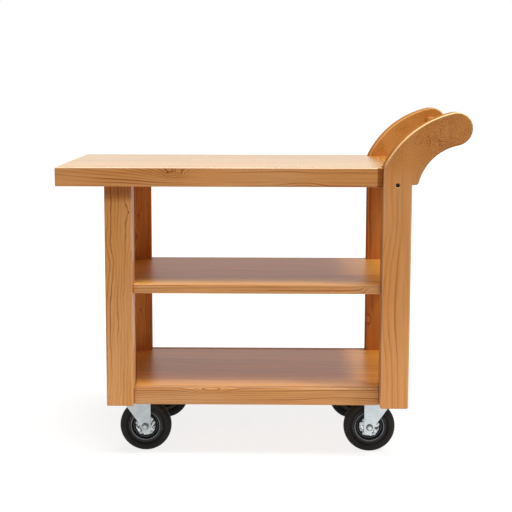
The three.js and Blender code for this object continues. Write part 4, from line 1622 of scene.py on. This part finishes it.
@dataclass
class Caster:
    """One swivel caster: plate, kingpin, ball race, fork, axle and wheel.

    Its own frame has the kingpin at the origin and the axle towards +X.

    Attributes:
        finishes: The shared finishes.
        place: Which corner it is at.
        swung: Whether it is swung half way round, to trail towards the left end.
        trail: How far the axle is from the kingpin.
        wheel_radius: Radius of the tread.
        tyre_width: Width of the tyre.
        rim_radius: Radius of the rim under the tyre.
        hub: Radius and length of the hub.
        bush: Inner and outer radius of its bush.
        fork_inside: Width between the fork's cheeks.
        sheet: Thickness of the fork's sheet.
        crown_top: Height of the fork's top.
        bend: Outer radius of the sheet's bends.
        cheek_front: Place of the cheeks' leading edge.
        cheek_back: How far the crown reaches behind the kingpin.
        cheek_waist: How far the trailing edge's waist is behind the lobe and above it.
        lobe_radius: Radius of the lobe at a cheek's lower end.
        lobe_drop: How far the lobe's middle is below the axle.
        plate_size: Length, width and thickness of the plate.
        plate_under: Height of its underside.
        screw_inset: Distance of its screws from its sides.
        race_middle: Radius of the race's middle.
        race_width: Width of the race.
        balls: Number of balls, and the radius of one.
        nut: Width across the flats of the axle's nut and head, and their heights.
        washer: Height of a washer's outer face over the cheek.
        disc_bolts: Number of bolts in the wheel disc, and the radius of their circle.
        disc_face: Place of the disc's face under them, from the wheel's middle.
    """

    finishes: Finishes
    place: str
    swung: bool
    trail: float = 0.034
    wheel_radius: float = 0.076
    tyre_width: float = 0.038
    rim_radius: float = 0.050
    hub: Pair = (0.016, 0.042)
    bush: Pair = (0.0053, 0.0093)
    fork_inside: float = 0.048
    sheet: float = 0.003
    crown_top: float = 0.1595
    bend: float = 0.008
    cheek_front: float = 0.050
    cheek_back: float = 0.036
    cheek_waist: Pair = (0.012, 0.011)
    lobe_radius: float = 0.012
    lobe_drop: float = 0.011
    plate_size: Triple = (0.072, 0.070, 0.004)
    plate_under: float = 0.176
    screw_inset: float = 0.011
    race_middle: float = 0.024
    race_width: float = 0.014
    balls: tuple[int, float] = (18, 0.0032)
    nut: Triple = (0.016, 0.0067, 0.0052)
    washer: float = 0.0016
    disc_bolts: tuple[int, float] = (5, 0.0262)
    disc_face: float = 0.0120

    @property
    def zinc(self) -> Material:
        """The plating, painted darker on the casters at the left end to stand for the darker reflections
        there.
        """
        return self.finishes.zinc if self.swung else self.finishes.shaded_zinc

    @property
    def swivel(self) -> str:
        """Name of the body that swivels."""
        return f"{self.place}_caster"

    @property
    def wheel(self) -> str:
        """Name of the body that rolls."""
        return f"{self.place}_wheel"

    @property
    def outward(self) -> int:
        """Sign of the side of its own frame that looks away from the table."""
        return (1 if "rear" in self.place else -1) * (-1 if self.swung else 1)

    @property
    def axle(self) -> Triple:
        """A point on the axle in the caster's own frame."""
        return self.trail, 0.0, self.wheel_radius

    @property
    def cheek(self) -> float:
        """Place of a cheek's outer face, from the wheel's middle."""
        return self.fork_inside / 2 + self.sheet

    def put(self, form: Form, name: str, material: Material | Sequence[Material],
            body: str, stands_for: str = "", sharp: float = 40.0) -> bpy.types.Object:
        """Swing and shift a form from the caster's own frame and show it.

        Args:
            form: The form.
            name: The piece's name at this caster.
            material: Its material, or one for each of its finish numbers.
            body: The body that it rides on.
            stands_for: The caster's solid that it is shown in place of, if any.
            sharp: Angle in degrees past which an edge is a crease.

        Returns:
            The object.
        """
        low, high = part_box(f"{self.place}_kingpin")
        way = -1.0 if self.swung else 1.0
        form.points = form.points * (way, way, 1.0) + ((low.x + high.x) / 2, (low.y + high.y) / 2, 0)
        materials = [material] if isinstance(material, Material) else material
        nodes = [f"{self.place}_{stands_for}"] if stands_for else []
        return show(form, f"{self.place}_{name}", materials, body, nodes, sharp)

    def build(self) -> None:
        """Make all the caster's pieces."""
        for make in (self._plate, self._screws, self._pin, self._balls, self._fork, self._lower_race,
                     self._axle, self._rim, self._disc_bolts, self._bush, self._tyre):
            make()

    def _race_ring(self, low: float, high: float, low_radius: float, high_radius: float) -> Form:
        """Turn a pressed race between two heights.

        Args:
            low: Its lower face's height.
            high: Its upper face's height.
            low_radius: Radius of the lower edges.
            high_radius: Radius of the upper edges.

        Returns:
            The ring.
        """
        inner, outer = self.race_middle - self.race_width / 2, self.race_middle + self.race_width / 2
        corners = [(inner, high), (inner, low), (outer, low), (outer, high)]
        radii = [high_radius, low_radius, low_radius, high_radius]
        return turned(rounded(corners, radii, steps=4, hold=0.0002), 64)

    def _plate(self) -> None:
        """Make the mounting plate with its pressed upper race."""
        length, width, thick = self.plate_size
        low = self.plate_under
        corners = rectangle((-length / 2, -width / 2), (length / 2, width / 2))
        form = plate(rounded(corners, 0.008, steps=8), 2, low, low + thick, 0.0006, 3, 0.0002)
        form.merged(self._race_ring(low - 0.0045, low + 0.001, 0.0016, 0.0005))
        self.put(form, "plate", self.zinc, "frame", "caster_plate")

    def _screws(self) -> None:
        """Make the plate's four screws, each one a six-sided head on a washer."""
        length, width, _ = self.plate_size
        low = self.plate_under
        screws = Form()
        for x in (-1, 1):
            for y in (-1, 1):
                at = (x * (length / 2 - self.screw_inset), y * (width / 2 - self.screw_inset), 0)
                screws.merged(hexagon(0.0085, low - 0.0040, low - 0.0006, 2, at, 0.0006, 48))
                screws.merged(turned([
                    (0, low - 0.0012), (0.0062, low - 0.0012), (0.0064, low - 0.0009),
                    (0.0064, low - 0.0001), (0, low - 0.0001)], 32, centre=at, closed=False))
        self.put(screws, "plate_screws", self.zinc, "frame")

    def _pin(self) -> None:
        """Make the kingpin: a domed head under the crown and a shank up into the plate."""
        low, high = self.plate_under, self.plate_under + self.plate_size[2] - 0.0003
        top = self.crown_top - self.sheet - 0.0003
        pin = turned([
            (0, top - 0.0045), (0.0065, top - 0.0045), (0.0082, top - 0.0042),
            (0.0098, top - 0.0034), (0.0108, top - 0.0020), (0.0110, top - 0.0004),
            (0.0108, top), (0.006, top), (0.006, low), (0.0097, high), (0, high)], 48, closed=False)
        self.put(pin, "pin", self.zinc, "frame", "kingpin")

    def _balls(self) -> None:
        """Make the cage of balls: a ring of beads in a pressed strip.

        A bead's point is its radius times the sine of its angle from the pole, turned round
        the pole, and times that angle's cosine upwards.
        """
        low, high = self.crown_top + 0.0038, self.plate_under - 0.0048
        middle, ring, edge, waist = (low + high) / 2, self.race_middle, 0.0022, 0.0034
        form = turned(rounded([
            (ring - edge, low), (ring + edge, low), (ring + waist, middle),
            (ring + edge, high), (ring - edge, high), (ring - waist, middle),
        ], 0.0006, steps=3, hold=0.0001), 64)
        count, radius = self.balls
        polar = np.linspace(0, math.pi, 9)[:, None]
        around = circle(14)
        ball = radius * on_axis(2, np.cos(polar), np.sin(polar) * np.cos(around),
                                np.sin(polar) * np.sin(around))
        for turn in np.arange(count) * 2 * math.pi / count:
            at = np.array([math.cos(turn), math.sin(turn), 0]) * (ring + 0.0008)
            form.net(ball + at + np.array([0, 0, middle]))
        self.put(form, "balls", self.finishes.dark_steel, self.swivel, "ball_race")

    def _cheek_limits(self, height: np.ndarray) -> tuple[np.ndarray, np.ndarray]:
        """Give the fork's trailing and leading edges at a height.

        The leading edge is upright down to the lobe's middle, and the trailing edge slopes
        down from the crown in two straight runs, the lower of which touches the lobe. Below
        these points both are the lobe's circle.

        Args:
            height: Heights above the floor.

        Returns:
            The trailing and the leading edge along the caster.
        """
        radius, corner = self.lobe_radius, 0.002
        lobe_x = self.cheek_front - radius
        lobe_z = self.wheel_radius - self.lobe_drop
        half = radius * np.sqrt(1 - np.clip((lobe_z - height) / radius, -1, 1) ** 2)
        off = (-radius - self.cheek_waist[0], radius + self.cheek_waist[1])
        touch = math.atan2(off[1], off[0]) + math.acos(radius / math.hypot(*off))
        touch_x = lobe_x + radius * math.cos(touch)
        touch_z = lobe_z + radius * math.sin(touch)
        heights = [touch_z, lobe_z + off[1], self.crown_top - corner, self.crown_top]
        edges = [touch_x, lobe_x + off[0], -self.cheek_back, -self.cheek_back + corner]
        back = np.where(height < touch_z, lobe_x - half, np.interp(height, heights, edges))
        front = np.where(height < lobe_z, lobe_x + half, self.cheek_front)
        return back, front

    def _fork(self) -> None:
        """Make the fork: one sheet bent over the wheel.

        A row runs across the sheet at one station of its bent section: up one cheek, round
        the bend, over the crown and down again. Its ends are the cheek's edges there.
        """
        half = self.fork_inside / 2 + self.sheet / 2
        top = self.crown_top - self.sheet / 2
        bend = self.bend - self.sheet / 2
        lobe_z = self.wheel_radius - self.lobe_drop
        swing = np.linspace(0, math.pi / 2, 15)
        rise = np.concatenate([
            lobe_z - self.lobe_radius * np.cos(swing),
            np.linspace(lobe_z, top - bend, 24)[1:]])
        arc = np.linspace(0, math.pi / 2, 7)[1:]
        crown = np.linspace(bend - half, 0, 6)[1:]
        across = np.concatenate([np.full(len(rise), -half), bend * (1 - np.cos(arc)) - half, crown])
        height = np.concatenate([rise, top - bend + bend * np.sin(arc), np.full(len(crown), top)])
        across = np.concatenate([across, -across[-2::-1]])[:, None]
        height = np.concatenate([height, height[-2::-1]])
        back, front = self._cheek_limits(height)
        share = np.linspace(0, 1, 17)
        rows = on_axis(0, back[:, None] + (front - back)[:, None] * share, across, height[:, None])
        fork = self.put(Form().net(rows, around=False), "yoke", self.zinc, self.swivel, "fork")
        wall = fork.modifiers.new("sheet", "SOLIDIFY")
        wall.thickness = self.sheet
        wall.offset = 0.0
        wall.use_even_offset = True
        edge = fork.modifiers.new("edge", "BEVEL")
        edge.width = 0.0005
        edge.segments = 2
        edge.limit_method = "ANGLE"
        edge.angle_limit = math.radians(60)

    def _lower_race(self) -> None:
        """Make the race that is pressed into the fork's crown."""
        ring = self._race_ring(self.crown_top - 0.001, self.crown_top + 0.0035, 0.0004, 0.0012)
        self.put(ring, "lower_race", self.zinc, self.swivel)

    def _about_axle(self, side: int, profile: Sequence[Sequence[float]], segments: int) -> Form:
        """Turn a profile about the axle, with its stations counted outwards from a cheek.

        Args:
            side: Sign of the side that the cheek is on.
            profile: Radius and station of each point.
            segments: Facets round the circle.

        Returns:
            The closed form.
        """
        radius, station = np.asarray(profile, float).T
        stations = side * (self.cheek + station)
        return turned(np.stack([radius, stations], 1), segments, 1, self.axle, closed=False)

    def _axle(self) -> None:
        """Make the axle bolt, its nut and a washer under each."""
        side = self.outward
        seat = self.cheek + self.washer
        across, nut_height, head_height = self.nut
        washer = [(0, 0.0001), (0.0098, 0.0001), (0.0100, 0.0004), (0.0100, 0.0013),
                  (0.0096, self.washer), (0, self.washer)]
        nut = hexagon(across, side * seat, side * (seat + nut_height), 1, self.axle, 0.0011)
        self.put(nut, "nut", self.finishes.nut_steel, self.swivel, "axle_nut", 30)
        self.put(self._about_axle(side, washer, 48), "nut_washer", self.finishes.dark_steel,
                 self.swivel)
        crest = np.arange(9)
        thread = np.stack([0.0050 - 0.0004 * (crest % 2), 0.0073 + 0.00035 * crest], 1)
        tip = thread[-1, 1] + 0.0001
        form = self._about_axle(side, np.vstack([[(0, 0.0070)], thread, [(0.0040, tip), (0, tip)]]), 40)
        form.merged(hexagon(across, -side * seat, -side * (seat + head_height), 1, self.axle, 0.0011))
        form.merged(turned([(0, -self.cheek), (0.005, -self.cheek), (0.005, self.cheek), (0, self.cheek)],
                           40, 1, self.axle, closed=False))
        self.put(form, "bolt", self.zinc, self.swivel, "axle_bolt", 30)
        self.put(self._about_axle(-side, washer, 48), "head_washer", self.finishes.dark_steel,
                 self.swivel)

    def _rim(self) -> None:
        """Make the pressed rim, a flange, a dished disc and a hub, turned from one profile.

        The profile is one half's, mirrored about the wheel's middle. The steel ring is black on
        the side towards the table, and the recess ring and the flange are black, as painted shade.
        """
        seat, (hub, hub_length) = self.rim_radius, self.hub
        edge = self.tyre_width / 2 - 0.002
        half = [
            (seat, edge - 0.0035), (seat - 0.0052, edge - 0.0040), (seat - 0.0064, edge),
            (seat - 0.0088, edge), (seat - 0.0135, 0.0065), (seat - 0.0170, 0.0060),
            (seat - 0.0186, 0.0105), (seat - 0.0208, 0.0122), (hub + 0.0022, 0.0128), (hub, 0.0150),
            (hub, hub_length / 2), (0.0096, hub_length / 2),
        ]
        radii = [0.0004, 0.0006, 0.0008, 0.0010, 0.0012, 0.0012, 0.0012, 0.0012, 0.0016, 0.0020,
                 0.0012, 0.0008]
        profile = mirrored(half, radii)
        middle = (profile[:, 0] + np.roll(profile[:, 0], -1)) / 2
        # Finish by radius: plated disc, black painted shade in the recess round it, steel ring, black
        # painted shade on the flange by the tyre.
        finish = np.digitize(middle, [seat - 0.0215, seat - 0.0150, seat - 0.0062])
        # Painted shade: the steel ring turns black on the side towards the table.
        finish = np.where((finish == 2) & (profile[:, 1] * self.outward < 0), 1, finish)
        black = self.finishes.shade_black
        self.put(turned(profile, 96, 1, self.axle, finish), "wheel_disc",
                 [self.finishes.disc_zinc, black, self.finishes.rim_steel, black], self.wheel, "rim")

    def _disc_bolts(self) -> None:
        """Make the bolts that clamp the wheel disc, each with its nut and thread on both sides."""
        bolts = Form()
        count, circle = self.disc_bolts
        low = self.disc_face
        for side in (-1, 1):
            for turn in np.arange(count) * 2 * math.pi / count + 0.35:
                at = (self.trail + circle * math.cos(turn), 0, self.wheel_radius + circle * math.sin(turn))
                bolts.merged(hexagon(0.008, side * low, side * (low + 0.0040), 1, at, 0.0006, 48))
                bolts.merged(turned([
                    (0, side * (low + 0.0036)), (0.0024, side * (low + 0.0036)),
                    (0.0024, side * (low + 0.0054)), (0.0018, side * (low + 0.0060)),
                    (0, side * (low + 0.0060))], 20, 1, at, closed=False))
        self.put(bolts, "rim_bolts", self.zinc, self.wheel, sharp=30)

    def _bush(self) -> None:
        """Make the bush that runs on the axle, a hair shorter than the fork is wide."""
        inner, outer = self.bush
        half = self.fork_inside / 2 - 0.0003
        section = rounded(rectangle((inner, -half), (outer, half)), 0.0004, steps=3, hold=0.0001)
        self.put(turned(section, 48, 1, self.axle), "bush", self.finishes.dark_steel, self.wheel,
                 "hub_bush")

    def _tyre(self) -> None:
        """Make the tyre: a crowned tread with three grooves and a raised bead on each wall.

        The profile is one half's, from the middle groove out over the wall and in to the
        rim, mirrored about the wheel's middle.
        """
        outer, half = self.wheel_radius, self.tyre_width / 2
        seat = self.rim_radius + 0.0003
        floor = outer - 0.0016
        wall = [
            (outer - 0.0003, 0.0009), (floor, 0.0011), (floor, 0.0023), (outer - 0.0004, 0.0025),
            (outer - 0.0009, 0.0085), (outer - 0.0022, 0.0087), (outer - 0.0022, 0.0099),
            (outer - 0.0013, 0.0101), (outer - 0.0040, half - 0.0040), (outer - 0.0090, half - 0.0008),
            (outer - 0.0150, half), (seat + 0.0075, half - 0.0002), (seat + 0.0062, half - 0.0016),
            (seat + 0.0030, half - 0.0055), (seat, half - 0.0060),
        ]
        tight, soft = 0.0003, 0.0022
        radii = [tight] * 8 + [soft * 1.6, soft, soft, 0.0010, 0.0010, 0.0010, 0.0006]
        self.put(turned(mirrored(wall, radii), 128, 1, self.axle), "tread", self.finishes.rubber,
                 self.wheel, "tyre")


def mirrored(half: Sequence[Pair], radii: Sequence[float]) -> np.ndarray:
    """Join half a wheel's profile to its mirror image about station 0, and round its corners."""
    loop = [(radius, -station) for radius, station in half[::-1]] + list(half)
    return rounded(loop, [*radii[::-1], *radii], steps=4, hold=0.0001)


# ---- studio


@dataclass(frozen=True)
class View:
    """The camera, with its place, its turn and its lens.

    Attributes:
        place: Its place in the table's frame.
        pitch: Degrees that it looks down.
        yaw: Degrees that it looks to the left of straight ahead.
        roll: Degrees that it leans.
        lens: Focal length in millimetres.
        sensor: Width of the sensor in millimetres.
    """

    place: Triple = (0.0258, -3.8907, 1.0863)
    pitch: float = 7.79
    yaw: float = 0.70
    roll: float = 0.12
    lens: float = 90.46
    sensor: float = 36.0

    def build(self) -> None:
        """Make the camera and make it the scene's."""
        data = bpy.data.cameras.new("view")
        data.lens = self.lens
        data.sensor_width = self.sensor
        data.clip_end = 60
        camera = placed_object("view", data)
        turn = (
            Matrix.Rotation(math.radians(self.yaw), 4, "Z")
            @ Matrix.Rotation(math.radians(90 - self.pitch), 4, "X")
            @ Matrix.Rotation(math.radians(self.roll), 4, "Z")
        )
        camera.matrix_world = Matrix.Translation(self.place) @ turn
        bpy.context.scene.camera = camera


@dataclass(frozen=True)
class Studio:
    """White surroundings, a pale floor and soft lamps.

    Attributes:
        ambient: Strength of the surroundings on matt surfaces.
        ambient_tint: Colour of that light.
        floor_grey: How much light the floor gives back near the table and far from it.
        floor_reach: Distances from its middle that count as near and as far.
        floor_half: Half the floor's width.
        floor_glow: Share of plain white that is seen in the floor.
        floor_lit: Grey of the part of it that the table's shadow darkens.
        lamps: Name, strength, direction and apparent size in degrees of each lamp.
        lamp_tint: Colour of the lamps.
    """

    ambient: float = 0.22
    ambient_tint: Colour = (1.0, 0.88, 0.80, 1.0)
    floor_grey: Pair = (0.90, 0.25)
    floor_reach: Pair = (0.5, 2.2)
    floor_half: float = 20.0
    floor_glow: float = 0.84
    floor_lit: float = 0.2
    lamps: tuple[tuple[str, float, Triple, float], ...] = (
        ("key", 1.7, (0.50, -0.24, 0.78), 11.0),
        ("overhead", 2.9, (0.05, -0.27, 0.95), 32.0),
    )
    lamp_tint: Triple = (1.0, 0.98, 0.95)

    def build(self) -> None:
        """Make the surroundings, the floor and the lamps."""
        bpy.context.scene.view_settings.view_transform = "Standard"
        self._surroundings()
        self._floor()
        self._lamps()

    def _shown(self, n: Nodes) -> Socket:
        """Give 1 where a ray comes from the camera, a mirror or a glass, and 0 elsewhere."""
        path = n.add("ShaderNodeLightPath").outputs
        return n.work("MAXIMUM", n.work("MAXIMUM", path["Is Camera Ray"], path["Is Glossy Ray"]),
                      path["Is Transmission Ray"])

    def _surroundings(self) -> None:
        """Make the world: white where it is seen, and an even warm light on matt surfaces."""
        n = Nodes(bpy.data.worlds.new("surroundings"))
        bpy.context.scene.world = n.owner
        light = n.add("ShaderNodeBackground", {"Color": self.ambient_tint, "Strength": self.ambient})
        white = n.add("ShaderNodeBackground", {"Color": (1, 1, 1, 1), "Strength": 1.0})
        mix = n.add("ShaderNodeMixShader", {
            0: self._shown(n), 1: light.outputs[0], 2: white.outputs[0]})
        n.add("ShaderNodeOutputWorld", {0: mix.outputs[0]})

    def _floor(self) -> None:
        """Make the floor: matt and pale, seen as white apart from the table's shadow.

        Seen from below it isn't there.
        """
        mesh = bpy.data.meshes.new("floor")
        far = self.floor_half
        mesh.from_pydata([(x, y, 0) for x, y in rectangle((-far, -far), (far, far))], [], [(0, 1, 2, 3)])
        floor = placed_object("floor", mesh)
        n = Nodes(bpy.data.materials.new("pale_floor"))
        away = n.work("SQRT", n.squares(*n.split(n.place)[:2]))
        grey = n.grey(n.ease(away, *self.floor_reach, *self.floor_grey))
        matt = n.add("ShaderNodeBsdfDiffuse", {"Color": grey})
        faint = n.add("ShaderNodeBsdfDiffuse", {"Color": (*[self.floor_lit] * 3, 1)})
        glow = n.add("ShaderNodeEmission", {"Strength": self.floor_glow})
        seen = n.add("ShaderNodeAddShader", {0: faint.outputs[0], 1: glow.outputs[0]})
        mix = n.add("ShaderNodeMixShader", {0: self._shown(n), 1: matt.outputs[0], 2: seen.outputs[0]})
        below = n.add("ShaderNodeNewGeometry").outputs["Backfacing"]
        clear = n.add("ShaderNodeBsdfTransparent").outputs[0]
        whole = n.add("ShaderNodeMixShader", {0: below, 1: mix.outputs[0], 2: clear})
        n.add("ShaderNodeOutputMaterial", {"Surface": whole.outputs[0]})
        mesh.materials.append(n.owner)

    def _lamps(self) -> None:
        """Make the lamps, each one so far away that its light is parallel."""
        for name, strength, way, size in self.lamps:
            lamp = bpy.data.lights.new(name, "SUN")
            lamp.energy = strength
            lamp.angle = math.radians(size)
            lamp.color = self.lamp_tint
            made = placed_object(name, lamp)
            x, y, z = np.array(way) / np.linalg.norm(way)
            made.rotation_euler = (math.acos(z), 0, math.atan2(y, x) + math.pi / 2)


def main() -> None:
    """Build the table and the studio round it, and log each piece."""
    logging.basicConfig(level=logging.INFO, format="%(message)s")
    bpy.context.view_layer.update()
    View().build()
    Studio().build()
    finishes = Finishes()
    for part in (WorkTop(finishes), Legs(finishes), HandleLegs(finishes), Handle(finishes),
                 Shelf(finishes), Deck(finishes)):
        part.build()
        LOG.info("built %s", type(part).__name__)
    for place, swung in (("front_left", False), ("rear_left", False),
                         ("front_right", True), ("rear_right", True)):
        Caster(finishes, place, swung).build()
        LOG.info("built the %s caster", place)
    for name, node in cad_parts.items():
        if not node.hide_render:
            node.data.materials.clear()
            node.data.materials.append(finishes.dark_steel)
            LOG.info("kept solid %s", name)


if __name__ == "__main__":
    main()
